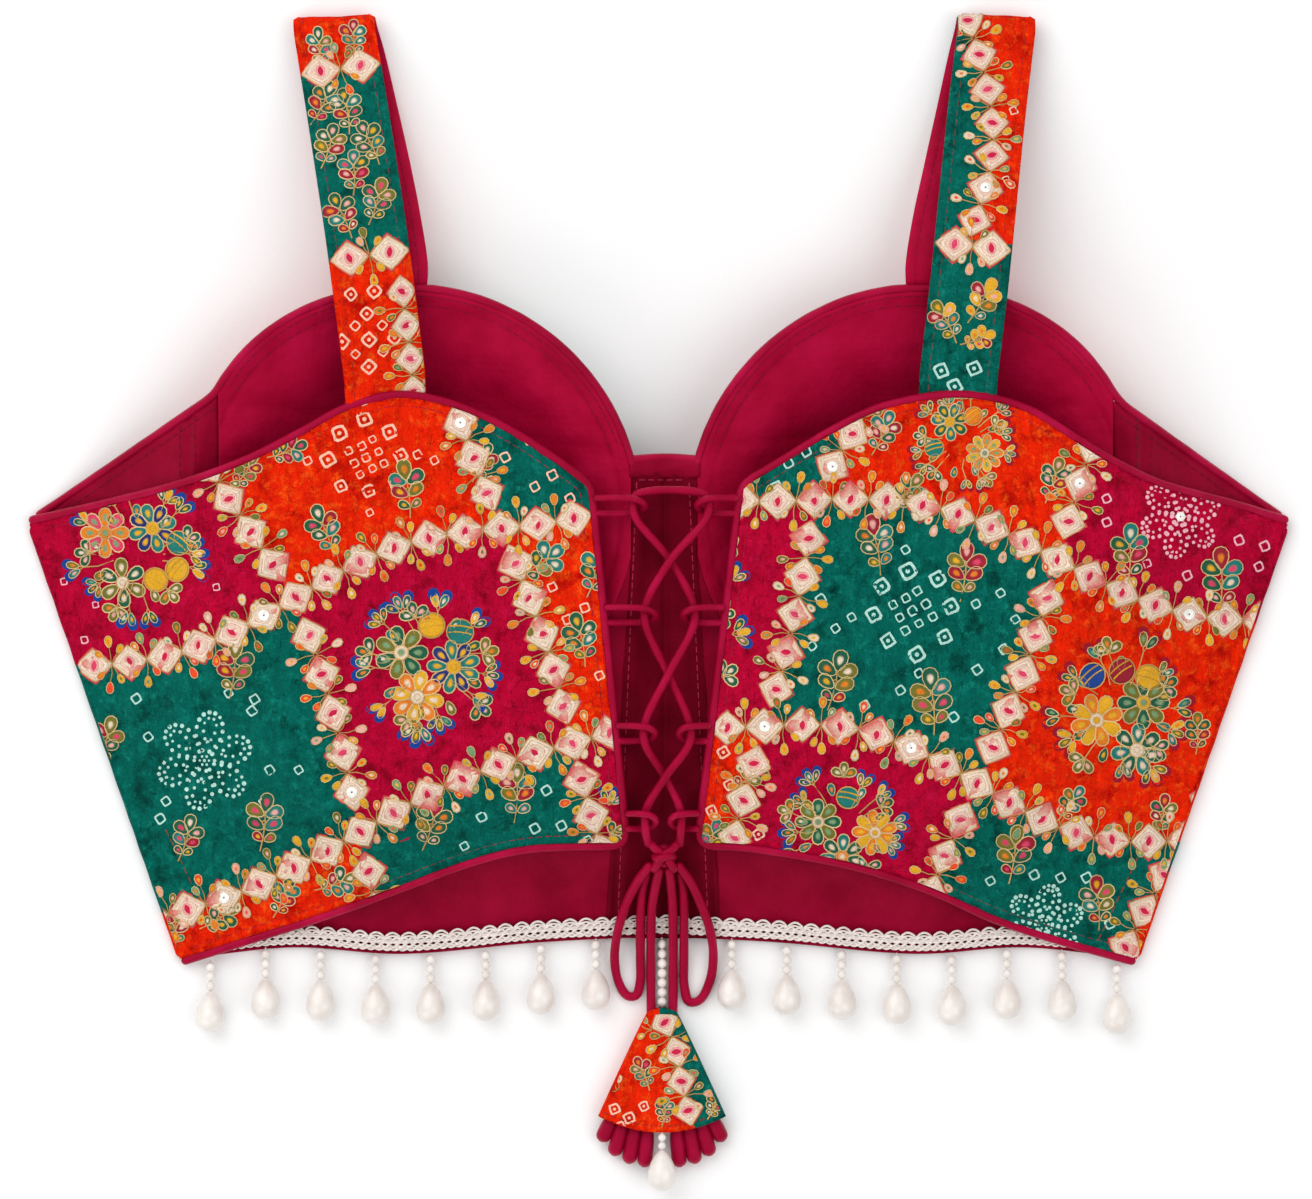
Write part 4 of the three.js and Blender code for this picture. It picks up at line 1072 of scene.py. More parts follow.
def bunch(s, at, size, under, flowers, balls):
    """A round bunch: flowers in the middle, balls beside them, and leaves all round."""
    at = np.asarray(at, float)
    for k, (dx, dy, petals, colours, centre) in enumerate(flowers):
        spot = at + np.array([dx, dy]) * size
        flower(s, spot, size * 0.34, petals, colours, [SAGE, YELLOW, CREAM][k % 3], centre, 0.3 * k)
    for dx, dy, colour in balls:
        ball(s, at + np.array([dx, dy]) * size, size * 0.17, colour, s.rng.uniform(-1, 1))
    for i in range(9):
        way = 2 * np.pi * (i + 0.4) / 9 + s.rng.uniform(-0.15, 0.15)
        spot = at + heading(way) * size * 0.5
        tone = s.pick(LEAF, OLIVE, TEAL)
        worked_petal(s, spot, way, size * 0.19, size * 0.11, tone, [YELLOW, CREAM, AMBER][i % 3], 9, 0.38)
    rim = 15
    for i in range(rim):
        way = 2 * np.pi * i / rim + s.rng.uniform(-0.2, 0.2)
        out = heading(way)
        spot = at + out * size * s.rng.uniform(0.62, 0.8)
        stem = np.array([at + out * size * 0.35, (at + out * size * 0.35 + spot) / 2 + out[::-1] * 0.8, spot])
        s.thread(stem, 0.42, 0.4, closed=False)
        if i % 3 == 1:
            trefoil(s, spot, way, s.pick(LEAF, OLIVE), size / 28)
        else:
            leaf_spray(s, spot, way, under, 2 + s.rng.integers(2), size / 28 * s.rng.uniform(0.85, 1.1))


def chain(s, centres, tangents, pitch, sprigs=True, across=6.1):
    for c, t in zip(centres, tangents):
        diamond(s, c, math.atan2(t[1], t[0]), pitch / 2, across)
    if not sprigs:
        return
    for a, b, t in zip(centres[:-1], centres[1:], tangents[:-1]):
        if np.linalg.norm(b - a) > 1.5 * pitch:
            continue
        middle, way = (a + b) / 2, math.atan2(t[1], t[0])
        for side in (1, -1):
            sprig(s, middle, way + side * math.pi / 2 + s.rng.uniform(-0.2, 0.2))


def stitch_line(s, line, colour, length=2.1, gap=1.0, width=0.42):
    """Dashes along a line in plan."""
    run, at = run_along(line), 0.4
    while at + length < run[-1]:
        t = np.linspace(at, at + length, 4)
        dash = np.column_stack([np.interp(t, run, line[:, k]) for k in range(2)])
        s.thread(dash, width, 0.22, colour, closed=False, kind="stitch", base=-0.05)
        at += length + gap


def sprays(s, *rows):
    for x, y, *rest in rows:
        spray_flower(s, (x, y), *rest)


def squares(s, places, *rest):
    for at in places:
        hollow_square(s, at, *rest)


def draw(s, rows):
    for motif, *rest in rows:
        motif(s, *rest)


# Each row is a function of the embroidery and what it takes.
MOTIFS = {
    "back_left": [
        (bunch, (-177, -11), 25, BLUE,
         [(-0.46, 0.3, 8, (AMBER, ROSE), AMBER), (0.2, 0.36, 8, (TEAL, NAVY), YELLOW),
          (-0.22, -0.38, 6, (LEAF, OLIVE), CREAM)],
         [(0.24, -0.34, YELLOW), (0.54, -0.2, YELLOW), (0.56, 0.16, TEAL)]),
        (bunch, (-77.5, -48.5), 27, BLUE,
         [(-0.36, 0.16, 7, (LEAF, OLIVE), CREAM), (0.3, -0.02, 9, (TEAL, NAVY), YELLOW),
          (-0.16, -0.4, 8, (AMBER, YELLOW), CREAM)],
         [(0.02, 0.5, YELLOW), (0.38, 0.42, TEAL)]),
        (dyed_cluster, (-99, 22), 0.45, 13.5),
        (squares, [(-76, 21)], 1.7, 0.5),
        (sprays, (-85, 11, 1.75, 0.95), (-113, -3, 2.0, 0.9), (-126, 24, 0.4, 0.7),
         (-60, 20, 1.2, 0.7), (-140, 17, 1.0, 0.7)),
        (squares, [(-44, 28), (-52, 22), (-36, 16), (-42, 12), (-30, 8), (-57, 14)], 1.8, 0.5),
        (dotted_flower, (-154.5, -81), 16, 6, PALE_GREEN),
        (squares, [(-137, -60), (-132, -84), (-122, -84), (-174, -73), (-138, -64), (-170, -101),
                   (-134, -95), (-178, -60), (-146, -58), (-168, -95)], 1.7, 0.6, False, PALE_GREEN),
        (sprays, (-144, -50, 1.5, 1.0), (-134, -102, 1.5, 1.0), (-189, -75, 1.2, 0.85),
         (-161, -108, 1.3, 0.8), (-21, -17, 1.3, 0.9), (-26, -40, 1.8, 0.9), (-40, -14, 0.6, 0.9)),
        (squares, [(-31, -33), (-25, -29), (-36, -22), (-20, -52)], 1.8, 0.4),
        (sprays, (-150, -135, 0.6, 0.75), (-128, -128, 1.2, 0.75), (-110, -123, 0.4, 0.75),
         (-165, -138, 1.6, 0.75), (-48, -92, 1.57, 1.0, MAROON), (-77, -103, 1.3, 0.9)),
        (squares, [(-38, -91), (-33, -103), (-60, -100), (-24, -108), (-66, -110), (-42, -104)],
         1.7, 0.5, False, PALE_GREEN),
        (leaf_spray, (-17, -96), 1.2, BLUE, 3, 0.8),
        (trefoil, (-16, -106), 0.4, LEAF, 0.8),
        (squares, [(-192, -28), (-203, -20), (-196, -40), (-150, -22)], 1.3, 0.2, False, PALE_PINK),
    ],
    "back_right": [
        (bunch, (157, -64), 27, MAROON,
         [(0.3, 0.1, 8, (LEAF, OLIVE), YELLOW), (-0.3, -0.12, 8, (AMBER, YELLOW), CREAM),
          (0.22, -0.5, 7, (LEAF, TEAL), CREAM)],
         [(-0.36, 0.44, BLUE), (0.02, 0.5, MAROON), (0.36, 0.42, YELLOW)]),
        (bunch, (62, -104), 23, BLUE,
         [(-0.34, 0.1, 8, (LEAF, OLIVE), CREAM), (0.5, -0.06, 9, (AMBER, YELLOW), CREAM),
          (0.02, -0.42, 7, (LEAF, TEAL), AMBER)],
         [(0.1, 0.46, TEAL)]),
        (bunch, (103, 28), 19, MAROON,
         [(0.4, -0.24, 9, (AMBER, YELLOW), CREAM), (-0.22, 0.32, 7, (LEAF, TEAL), YELLOW)],
         [(-0.5, -0.15, TEAL), (0.2, 0.42, AMBER)]),
        (dyed_cluster, (86, -30), 0.5, 15, PALE_GREEN),
        (sprays, (74, -8, 1.8, 1.0), (104, -17, 1.5, 1.0, MAROON), (60, -54, 1.4, 1.0),
         (93, -61, 1.7, 1.1)),
        (squares, [(55, -26), (52, -42), (82, -57), (108, -50), (117, -43), (116, -24), (60, -36),
                   (70, -62), (100, -66), (121, -33)], 1.7, 0.6, False, PALE_GREEN),
        (dotted_flower, (177.5, 2), 13.5, 6, PALE_PINK),
        (sequin, (177.5, 2), 1.6),
        (sprays, (160, -11, 1.6, 1.0), (192, -20, 1.6, 1.1)),
        (squares, [(152, 0), (152, 8), (166, -14), (205, -15), (198, -6), (180, -18), (207, -8)],
         1.7, 0.4, False, PALE_PINK),
        (leaf_spray, (24, -20), 1.1, BLUE, 3, 0.9),
        (trefoil, (22, -8), 0.5, LEAF),
        (leaf_spray, (25, -38), 0.2, BLUE, 3, 0.95),
        (trefoil, (22, -52), 0.6, LEAF),
        (flower, (20, -31), 6, 7, (LEAF, SAGE), CREAM, YELLOW),
        (squares, [(24, -89), (18, -98), (30, -96), (22, -78), (34, -106)], 2.1, 0.5, True),
        (sprays, (31, -86, 0.8, 0.8), (18, -108, 1.3, 0.7)),
        (squares, [(50, 24), (60, 21), (40, 12), (63, 28), (44, 20)], 1.9, 0.5, False, PALE_GREEN),
        (sprays, (76, 30, 1.2, 0.8), (134, 14, 1.3, 0.8), (84, 10, 0.9, 0.75)),
        (dotted_flower, (131.5, -137), 13, 6, PALE_GREEN),
        (sprays, (121, -113, 1.5, 1.0), (150, -130, 1.7, 0.9)),
        (squares, [(137, -121), (146, -121), (154, -137), (128, -120), (160, -142), (113, -122)],
         1.8, 0.5, False, PALE_GREEN),
        (sprays, (172, -100, 1.4, 0.7), (140, -96, 1.0, 0.7), (184, -72, 1.6, 0.7)),
    ],
    "strap_left": [
        (sprays, (-7, 57, 1.9, 0.85), (5, 60, 1.2, 0.85), (-1, 72, 1.5, 0.85), (-8, 83, 1.2, 0.85),
         (6, 82, 1.9, 0.85), (0, 95, 1.6, 0.85), (-8, 99, 1.0, 0.85)),
        (lattice, (-4, 14), 0.7, 3, 6.4, 2.0),
        (squares, [(-8, 30), (0, 30)], 2.3, 0.6, True),
        (sprays, (-6, 119, 1.5, 0.7), (6, 121, 1.5, 0.7)),
    ],
    "strap_right": [
        (sprays, (5, 27, 1.2, 0.85, YELLOW), (-6, 19, 2.2, 0.8, YELLOW), (5, 14, 0.5, 0.6, YELLOW)),
        (squares, [(-6, 2), (5, 4), (-1, -3)], 2.4, 0.5, True, PALE_GREEN),
        (squares, [(9, 70), (9, 96), (-8, 112)], 1.5, 0.5),
    ],
    "cone": [
        (sprays, (-5, -188, 2.0, 0.6), (2, -201, 1.5, 0.5), (19, -199, 1.2, 0.5)),
        (squares, [(-15, -200), (-10, -203), (-5, -199), (-13, -206)], 1.9, 0.4, True),
        (sprig, (-2, -173), 2.9, 0.8),
        (sprig, (-14, -194), 2.2, 0.8),
    ],
}  # fmt: skip


# ---- the pattern's grid on the back panels -------------------------------------------------------
GRID = {
    "left": dict(
        j00=(-123, -25.4), j10=(-53.3, -2), j01=(-101.3, -105.1), j11=(-29.2, -74.8),
        row=(5.5, 3.5), column=2.0, lean=-28,
    ),
    "right": dict(
        j00=(52.7, 7.5), j10=(135.3, -12.7), j01=(36, -69.2), j11=(108, -88.7),
        row=(7.5, 7.5), column=2.0, lean=32,
    ),
}  # fmt: skip


def grid_place(side, u, v):
    """Where a place of the pattern's grid lies in plan. Whole numbers are the chains of diamonds."""
    g = GRID[side]
    a, b, c, d = (np.array(g[k], float) for k in ("j00", "j10", "j01", "j11"))
    u, v = np.asarray(u, float)[..., None], np.asarray(v, float)[..., None]
    p = (1 - u) * (1 - v) * a + u * (1 - v) * b + (1 - u) * v * c + u * v * d
    row = lerp(g["row"][0], g["row"][1], v)
    p[..., 1] += (row * np.sin(np.pi * u))[..., 0]
    p[..., 0] += (g["column"] * np.sin(np.pi * v))[..., 0]
    p[..., 0] += (g["lean"] * np.maximum(0, -v) * np.clip(1 - u, 0, 1))[..., 0]
    return p


def grid_of(side, x, y):
    """The inverse of grid_place, by Newton's method."""
    target = np.column_stack([np.ravel(x), np.ravel(y)])
    uv = np.full(target.shape, 0.5)
    step = 1e-3
    for _ in range(14):
        here = grid_place(side, uv[:, 0], uv[:, 1])
        du = (grid_place(side, uv[:, 0] + step, uv[:, 1]) - here) / step
        dv = (grid_place(side, uv[:, 0], uv[:, 1] + step) - here) / step
        miss = target - here
        det = du[:, 0] * dv[:, 1] - du[:, 1] * dv[:, 0]
        det = np.where(np.abs(det) < 1e-3, 1e-3, det)
        move = np.column_stack(
            [
                (miss[:, 0] * dv[:, 1] - miss[:, 1] * dv[:, 0]) / det,
                (du[:, 0] * miss[:, 1] - du[:, 1] * miss[:, 0]) / det,
            ]
        )
        uv += np.clip(move, -0.4, 0.4)
    if side == "right":
        return np.column_stack([3 - uv[:, 0], 1 - uv[:, 1]])
    return np.column_stack([np.maximum(uv[:, 0], -0.98), uv[:, 1]])


def grid_chains(s, side, outline, pitch):
    """Diamonds along every line of the grid that crosses the panel."""
    for fixed in (-1, 0, 1, 2):
        for is_row in (True, False):
            if side == "left" and fixed == -1 and not is_row:
                continue
            centres, tangents = [], []
            for k in (-2, -1, 0, 1, 2):
                t = np.linspace(k, k + 1, 60)
                other = np.full(60, float(fixed))
                line = grid_place(side, t, other) if is_row else grid_place(side, other, t)
                run = run_along(line)
                count = max(1, round(run[-1] / pitch))
                way = unit(np.gradient(line, axis=0))
                for j in range(count):
                    if j == 0 and not is_row:
                        continue
                    here = run[-1] * j / count
                    centres.append([np.interp(here, run, line[:, i]) for i in range(2)])
                    tangents.append([np.interp(here, run, way[:, i]) for i in range(2)])
            centres, tangents = np.array(centres), np.array(tangents)
            near = outline.measure(centres)[0] > -6
            chain(s, centres[near], tangents[near], pitch)


# ---- cords: the bow's loops and tails ------------------------------------------------------------
def rouleau(name, points, diameter, replaces, sides=12, step=1.0):
    """A cord of cloth, a little uneven."""
    line = Curve(points).points(step)
    n = len(line)
    radius = diameter / 2 * (1 + 0.035 * waves(np.arange(n) * 1.0, 0, len(name), 9))
    form = tube(Form(), line, radius, sides)
    made = form.piece(name, [TRIM], "trim_cord", replaces)
    return made, line


def piping(name, line, seed, *replaces):
    """The corded edge of a panel, a little uneven."""
    radius = PIPING / 2 * (1 + 0.03 * waves(np.arange(len(line)) * 1.5, 0, seed, 11))
    return tube(Form(), line, radius, 12).piece(name, [TRIM], "trim_cord", replaces)


def above(top):
    """Puts stitches that far above a surface."""
    return lambda x, y, lift: np.column_stack([x, y, top(x, y) + lift])


def seams(name, seed, top, rows, outline=None):
    """Rows of dashes on a lining, each with its colour."""
    s = Stitchery(seed)
    for line, colour in rows:
        stitch_line(s, line, colour)
    return s.piece(name, above(top), outline)


def metres(line):
    return [[float(c) * MM for c in p] for p in line]


# ---- back panels ---------------------------------------------------------------------------------
PIPING_OUT = PIPING / 2 - 0.35


def edge_curve(rows, side):
    column, sign = COLUMN[side], SIGN[side]
    return Curve([(sign * row[column], row[2]) for row in rows])


def beside(edge, out, under, wall):
    """A line moved out from a panel's edge in plan, at the middle of its wall."""
    along = unit(np.gradient(edge[:, :2], axis=0))
    x, y = edge[:, 0] - along[:, 1] * out, edge[:, 1] + along[:, 0] * out
    z = under(edge[:, 0], edge[:, 1]) + wall(edge[:, 0], edge[:, 1]) / 2
    return np.column_stack([x, y, np.maximum(PIPING / 2 + 0.1, z)])


def rounded(line, passes=6):
    """Corners eased by averaging, with the ends kept."""
    for _ in range(passes):
        line = np.vstack([line[:1], (line[:-2] + 2 * line[1:-1] + line[2:]) / 4, line[-1:]])
    return line


def back_edge(side, step=1.5):
    """The panel's edge from the underarm along the neckline, down the lacing and back to the side."""
    neck, hem = edge_curve(NECKLINE, side), edge_curve(BACK_HEM, side)
    top = neck.points(step)
    bottom = hem.points(step)[::-1]
    count = int(np.linalg.norm(top[-1] - bottom[0]) / step)
    lacing = lerp(top[-1], bottom[0], np.linspace(0, 1, count + 1)[1:-1, None])
    return np.vstack([top, lacing, bottom])


def back_rumple(side, x, y, depth):
    seed = 11 if side == "left" else 23
    soft = 0.5 * waves(x, y, seed, 38) + 0.3 * waves(x, y, seed + 1, 17)
    crinkle = 0.55 * waves(x, y, seed + 2, 9) + 0.22 * waves(x, y, seed + 5, 4.8)
    pucker = 0.22 * waves(x, y, seed + 3, 7) * np.exp(-((depth / 7) ** 2))
    groove = -0.4 * np.exp(-(((depth - BACK_STITCH) / 1.1) ** 2))
    return (soft + crinkle) * smooth(depth / 14) + pucker + groove + 0.25


def back_top(side, outline):
    def top(x, y):
        depth = np.maximum(0, outline.measure(np.column_stack([np.ravel(x), np.ravel(y)]))[0])
        depth = depth.reshape(np.shape(x))
        return back_under(x, y) + back_wall(x, y) + back_rumple(side, x, y, depth)

    return top


def back_panel(side):
    neck, hem = edge_curve(NECKLINE, side), edge_curve(BACK_HEM, side)
    edge = back_edge(side)
    outline = Outline(edge)
    top = back_top(side, outline)
    xy = between(hem.even, neck.even, 170, 100)
    x, y = xy[..., 0], xy[..., 1]
    form = shell(Form(), xy, back_under(x, y), top(x, y), grid=grid_of(side, x, y))
    cloth = form.piece(f"back_{side}_cloth", [PRINT, LINING], "printed_cloth", [f"back_{side}"])

    out = PIPING_OUT * -SIGN[side]
    line = rounded(beside(edge, out, back_under, back_wall))[1:-1]
    corded = piping(f"back_{side}_piping", line, 5, f"back_piping_{side}")

    s = Stitchery(31 if side == "left" else 47)
    grid_chains(s, side, outline, 13.4 if side == "left" else 13.0)
    draw(s, MOTIFS[f"back_{side}"])
    inner = beside(edge, -out / PIPING_OUT * BACK_STITCH, back_under, back_wall)[:, :2]
    stitch_line(s, rounded(inner[3:-3]), rgb(150, 20, 50))
    seam_in = 11
    a = np.array([SIDE_BOTTOM[0] - 13.5, SIDE_BOTTOM[1] + 6]) * (SIGN[side], 1)
    b = np.array([lerp(SIDE_BOTTOM[0], SIDE_TOP[0], 0.32) - seam_in, -103]) * (SIGN[side], 1)
    stitch_line(s, np.array([a, b]), rgb(150, 60, 30), 2.4, 1.2)
    return cloth, corded, s.piece(f"back_{side}_embroidery", above(top), outline)


# ---- the two ties, first of the soft goods -------------------------------------------------------
def tie_cord(made, line, far_end, with_pieces=()):
    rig.cord(
        made, exit=metres(line[:1])[0], length=round(float(run_along(line)[-1]) * MM, 4),
        diameter=CORD * MM, far_end=far_end, stiffness="limp", lay="loose",
        path=metres(line[::2]), with_pieces=with_pieces,
    )  # fmt: skip


for side in ("left", "right"):
    tie_cord(*rouleau(f"bow_loop_{side}", TIE_LOOP[side], CORD, [f"tie_loop_{side}"]), "object")
tails = {}
for side in ("left", "right"):
    tails[side] = rouleau(f"bow_tail_{side}", TIE_TAIL[side], CORD, [f"tie_tail_{side}"])

backs = {side: back_panel(side) for side in ("left", "right")}


# ---- front ---------------------------------------------------------------------------------------
def cup_across(side, t):
    turn = lambda s: np.cos(np.pi * (0.12 + 0.82 * s))
    c = SIDES[side]
    return lerp(c["cup_outer"], c["cup_inner"], (turn(0) - turn(t)) / (turn(0) - turn(1)))


def flat_grid(x, y):
    return np.stack([x / 95, y / 95], axis=-1)


def front_shell(name, xy, top, slot_top, replaces):
    x, y = xy[..., 0], xy[..., 1]
    form = shell(Form(), xy, front_under(x, y), top(x, y), grid=flat_grid(x, y))
    return form.piece(name, [slot_top, PRINT], "lining_cloth", replaces)


def cup_top(side):
    def top(x, y):
        share = cup_share(x, y)
        inward = (1 - share) * CUP_HALF
        facing = 0.2 * smooth((5.4 - inward) / 1.2) - 0.22 * np.exp(-(((inward - 5.6) / 1.3) ** 2))
        seed = 61 if side == "left" else 67
        folds = 0.6 * waves(x, y, seed, 46) + 0.25 * waves(x * 0.5, y, seed + 1, 18)
        pucker = 0.14 * waves(x, y, seed + 2, 6.5) * np.exp(-(((inward - 5) / 4) ** 2))
        slant = y - (34 + 0.12 * (np.abs(x) - 90))
        crease = -0.5 * np.exp(-((slant / 2.2) ** 2)) * smooth((inward - 6) / 8)
        return front_under(x, y) + cup_wall(x, y) + folds * smooth(inward / 16) + pucker + facing + crease

    return top


def cup_piece(side):
    c = SIDES[side]

    def edge(up):
        def at(t):
            x = cup_across(side, t)
            return np.column_stack([c["sign"] * x, CUP_Y + up * cup_reach(x - c["cup"])])

        return at

    xy = between(edge(-1), edge(1), 110, 90)
    made = front_shell(f"cup_{side}_pad", xy, cup_top(side), LINING, [f"cup_{side}"])
    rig.padded(made, fill=0.55)
    top = cup_top(side)
    turn = np.linspace(0.56, np.pi - 0.32, 240)
    x = c["cup"] + CUP_HALF * np.cos(turn)
    rim = np.column_stack([c["sign"] * x, CUP_Y + cup_reach(x - c["cup"])])
    middle = np.array([c["sign"] * c["cup"], CUP_Y])
    rows = [
        (middle + (rim - middle) * (1 - inside / CUP_HALF), colour)
        for inside, colour in ((5.0, rgb(120, 0, 30)), (2.0, rgb(124, 2, 34)))
    ]
    seams(f"cup_{side}_stitching", 71, top, rows)
    return made


def lining_top(seed, seams=()):
    """The lining face of a flat panel: soft ripples, with a groove along each seam in plan."""

    def top(x, y):
        height = front_top(x, y) + 0.28 * waves(x, y, seed, 30) + 0.1 * waves(x, y, seed + 1, 9)
        for (ax, ay), (bx, by), depth in seams:
            t = np.clip((y - ay) / (by - ay), 0, 1)
            away = np.abs(x - lerp(ax, bx, t))
            height = height - depth * np.exp(-((away / 0.9) ** 2)) + 0.4 * np.exp(-(((away - 3) / 1.6) ** 2))
        return height

    return top


def front_lower(side):
    c = SIDES[side]

    def upper(t):
        x = cup_across(side, t)
        return np.column_stack([c["sign"] * x, CUP_Y - cup_reach(x - c["cup"]) + 0.15])

    def lower(t):
        x = c["sign"] * lerp(c["hem_outer"] + 0.4, c["hem_inner"] - 0.4, t)
        return np.column_stack([x, front_hem(x)])

    xy = between(lower, upper, 100, 50, 1.3)
    # A darker copy of the lining: painted shade under the back panels' hem.
    return front_shell(
        f"front_lower_{side}_cloth", xy, lining_top(81), SHADED_LINING, [f"front_lower_{side}"]
    )


def front_side(side):
    c = SIDES[side]
    reach = float(cup_reach(np.array(c["cup_outer"] - c["cup"])))
    seam = [
        (c["cup_outer"], CUP_Y + reach - 1),
        (c["cup_outer"], CUP_Y - reach),
        (c["hem_outer"], float(front_hem(c["hem_outer"]))),
    ]

    def inner(t):
        bend = 0.42
        t = t[:, None]
        a, b, d = (np.array(p) for p in seam)
        p = np.where(t < bend, lerp(a, b, t / bend), lerp(b, d, (t - bend) / (1 - bend)))
        return p * (c["sign"], 1)

    def outer(t):
        x, y = (lerp(a, b, t) for a, b in zip(SIDE_TOP, SIDE_BOTTOM))
        return np.column_stack([c["sign"] * x, y])

    xy = between(outer, inner, 90, 50)
    bone = c["sign"] * (c["cup_outer"] + 10.5)
    top = lining_top(91, [((bone, 60), (bone, -160), 0.6)])
    # A darker copy of the lining: painted shade on this part of the lining.
    made = front_shell(f"front_side_{side}_cloth", xy, top, SHADED_LINING, [f"front_side_{side}"])
    corner = np.array([c["sign"] * c["cup_outer"], seam[0][1]])
    tip = np.array([c["sign"] * SIDE_TOP[0], SIDE_TOP[1]])
    along = unit((corner - tip)[None])[0]
    inward = np.array([along[1], -along[0]]) * (-1 if c["sign"] > 0 else 1)
    inward = inward if inward[1] < 0 else -inward
    start, end = tip + along * 14 + inward * 3, corner + inward * 3
    lines = [np.linspace(start, end, 30)]
    lines += [np.array([(x, 46), (x, -20)]) for x in (bone - BONE_HALF, bone + BONE_HALF)]
    t = np.linspace(0, 1, 30)
    shape = Outline(np.vstack([outer(t), inner(t)[::-1]]))
    rows = [(line, rgb(105, 0, 26)) for line in lines]
    seams(f"front_side_{side}_stitching", 73, top, rows, shape)
    return made


def front_centre():
    def edge(side):
        c = SIDES[side]
        reach = float(cup_reach(np.array(c["cup_inner"] - c["cup"])))
        top, corner, bend = CUP_Y + reach, CUP_Y - reach, 0.24

        def at(t):
            down = np.clip((t - bend) / (1 - bend), 0, 1)
            x = lerp(c["cup_inner"], c["hem_inner"], down) + 0.15
            y = np.where(
                t < bend,
                lerp(top, corner, t / bend),
                lerp(corner, float(front_hem(c["hem_inner"])), down),
            )
            return np.column_stack([c["sign"] * x, y])

        return at

    grooves = [((2.3, 30), (2.3, -150), 0.9)]
    grooves += [((-7.2, 40), (-15, -141), 0.5), ((11, 40), (18, -141), 0.5)]
    top = lining_top(97, grooves)
    xy = between(edge("left"), edge("right"), 130, 40)
    # The darkest copy of the lining: painted shade in the gap under the lacing.
    made = front_shell("front_centre_cloth", xy, top, DEEP_SHADE_LINING, ["front_centre"])
    lines = [(-7.4, 14), (-14, -138)], [(10.4, 14), (17, -138)], [(-7, 14.4), (11, 14.4)]
    rows = [(np.array(line), rgb(180, 40, 80)) for line in lines]
    seams("front_centre_stitching", 77, top, rows)
    # The folded band along its top edge.
    across, up = np.linspace(-9.9, 14.2, 40), np.linspace(0, 1, 10)
    x, share = np.meshgrid(across, up, indexing="ij")
    arch = 0.8 * np.sin(np.pi * (x - across[0]) / (across[-1] - across[0]))
    y = lerp(15.2, 21.4 + arch, share)
    under = front_under(x, np.minimum(y, 16.5))
    puff = 1.0 * np.sqrt(np.sin(np.pi * np.clip(share, 0.02, 0.98))) + 0.12 * waves(x, y, 99, 6)
    band_ = shell(Form(), np.stack([x, y], -1), under, under + CLOTH + puff, grid=flat_grid(x, y))
    # A darker copy of the lining: painted shade in the gap between the back panels.
    band_.piece("front_centre_band", [SHADED_LINING, PRINT], "lining_cloth")
    y = y[:, -1] - 0.2
    z = front_under(across, np.full(40, 16.5)) + CLOTH / 2
    cord = tube(Form(), np.column_stack([across, y, z]), PIPING / 2, 12)
    cord.piece("front_centre_piping", [TRIM], "trim_cord")
    return made


def front_piping(side):
    c = SIDES[side]
    reach = float(cup_reach(np.array(c["cup_outer"] - c["cup"])))
    corner = np.array([c["sign"] * c["cup_outer"], CUP_Y + reach - 1])
    tip = np.array([c["sign"] * SIDE_TOP[0], SIDE_TOP[1]])
    under_arm = lerp(tip, corner, np.linspace(0.06, 0.97, 46)[:, None])
    x = c["cup"] + CUP_HALF * np.cos(np.linspace(0.5, np.pi - 0.2, 150))
    across = c["sign"] * np.maximum(x, c["cup_inner"] - 0.3)
    rim = np.column_stack([across, CUP_Y + cup_reach(x - c["cup"])])
    line = beside(
        np.vstack([under_arm, rim]), (PIPING_OUT - 0.4) * -c["sign"], front_under, front_wall
    )
    line = rounded(line, 4)
    return piping(f"front_{side}_piping", line, 9, f"front_piping_{side}")


fronts = {}
for side in ("left", "right"):
    fronts[side] = (cup_piece(side), front_lower(side), front_side(side), front_piping(side))
fronts["centre"] = front_centre()


def side_fold(side):
    """Where the print turns round from the back to the front at the side seam."""
    sign = SIGN[side]
    t = np.linspace(0.015, 0.985, 90)
    x, y = (lerp(a, b, t) for a, b in zip(SIDE_TOP, SIDE_BOTTOM))
    line = np.column_stack([sign * (x - 0.9), y, np.full(90, 1.85)])
    form = Form()
    tube(form, line, 1.75 * (1 + 0.03 * waves(y, 0, 3, 9)), 12)
    form.grids = [grid_of(side, form.points[0][:, 0], form.points[0][:, 1])]
    return form.piece(f"side_fold_{side}", [PRINT], "printed_cloth")


for side in ("left", "right"):
    side_fold(side)


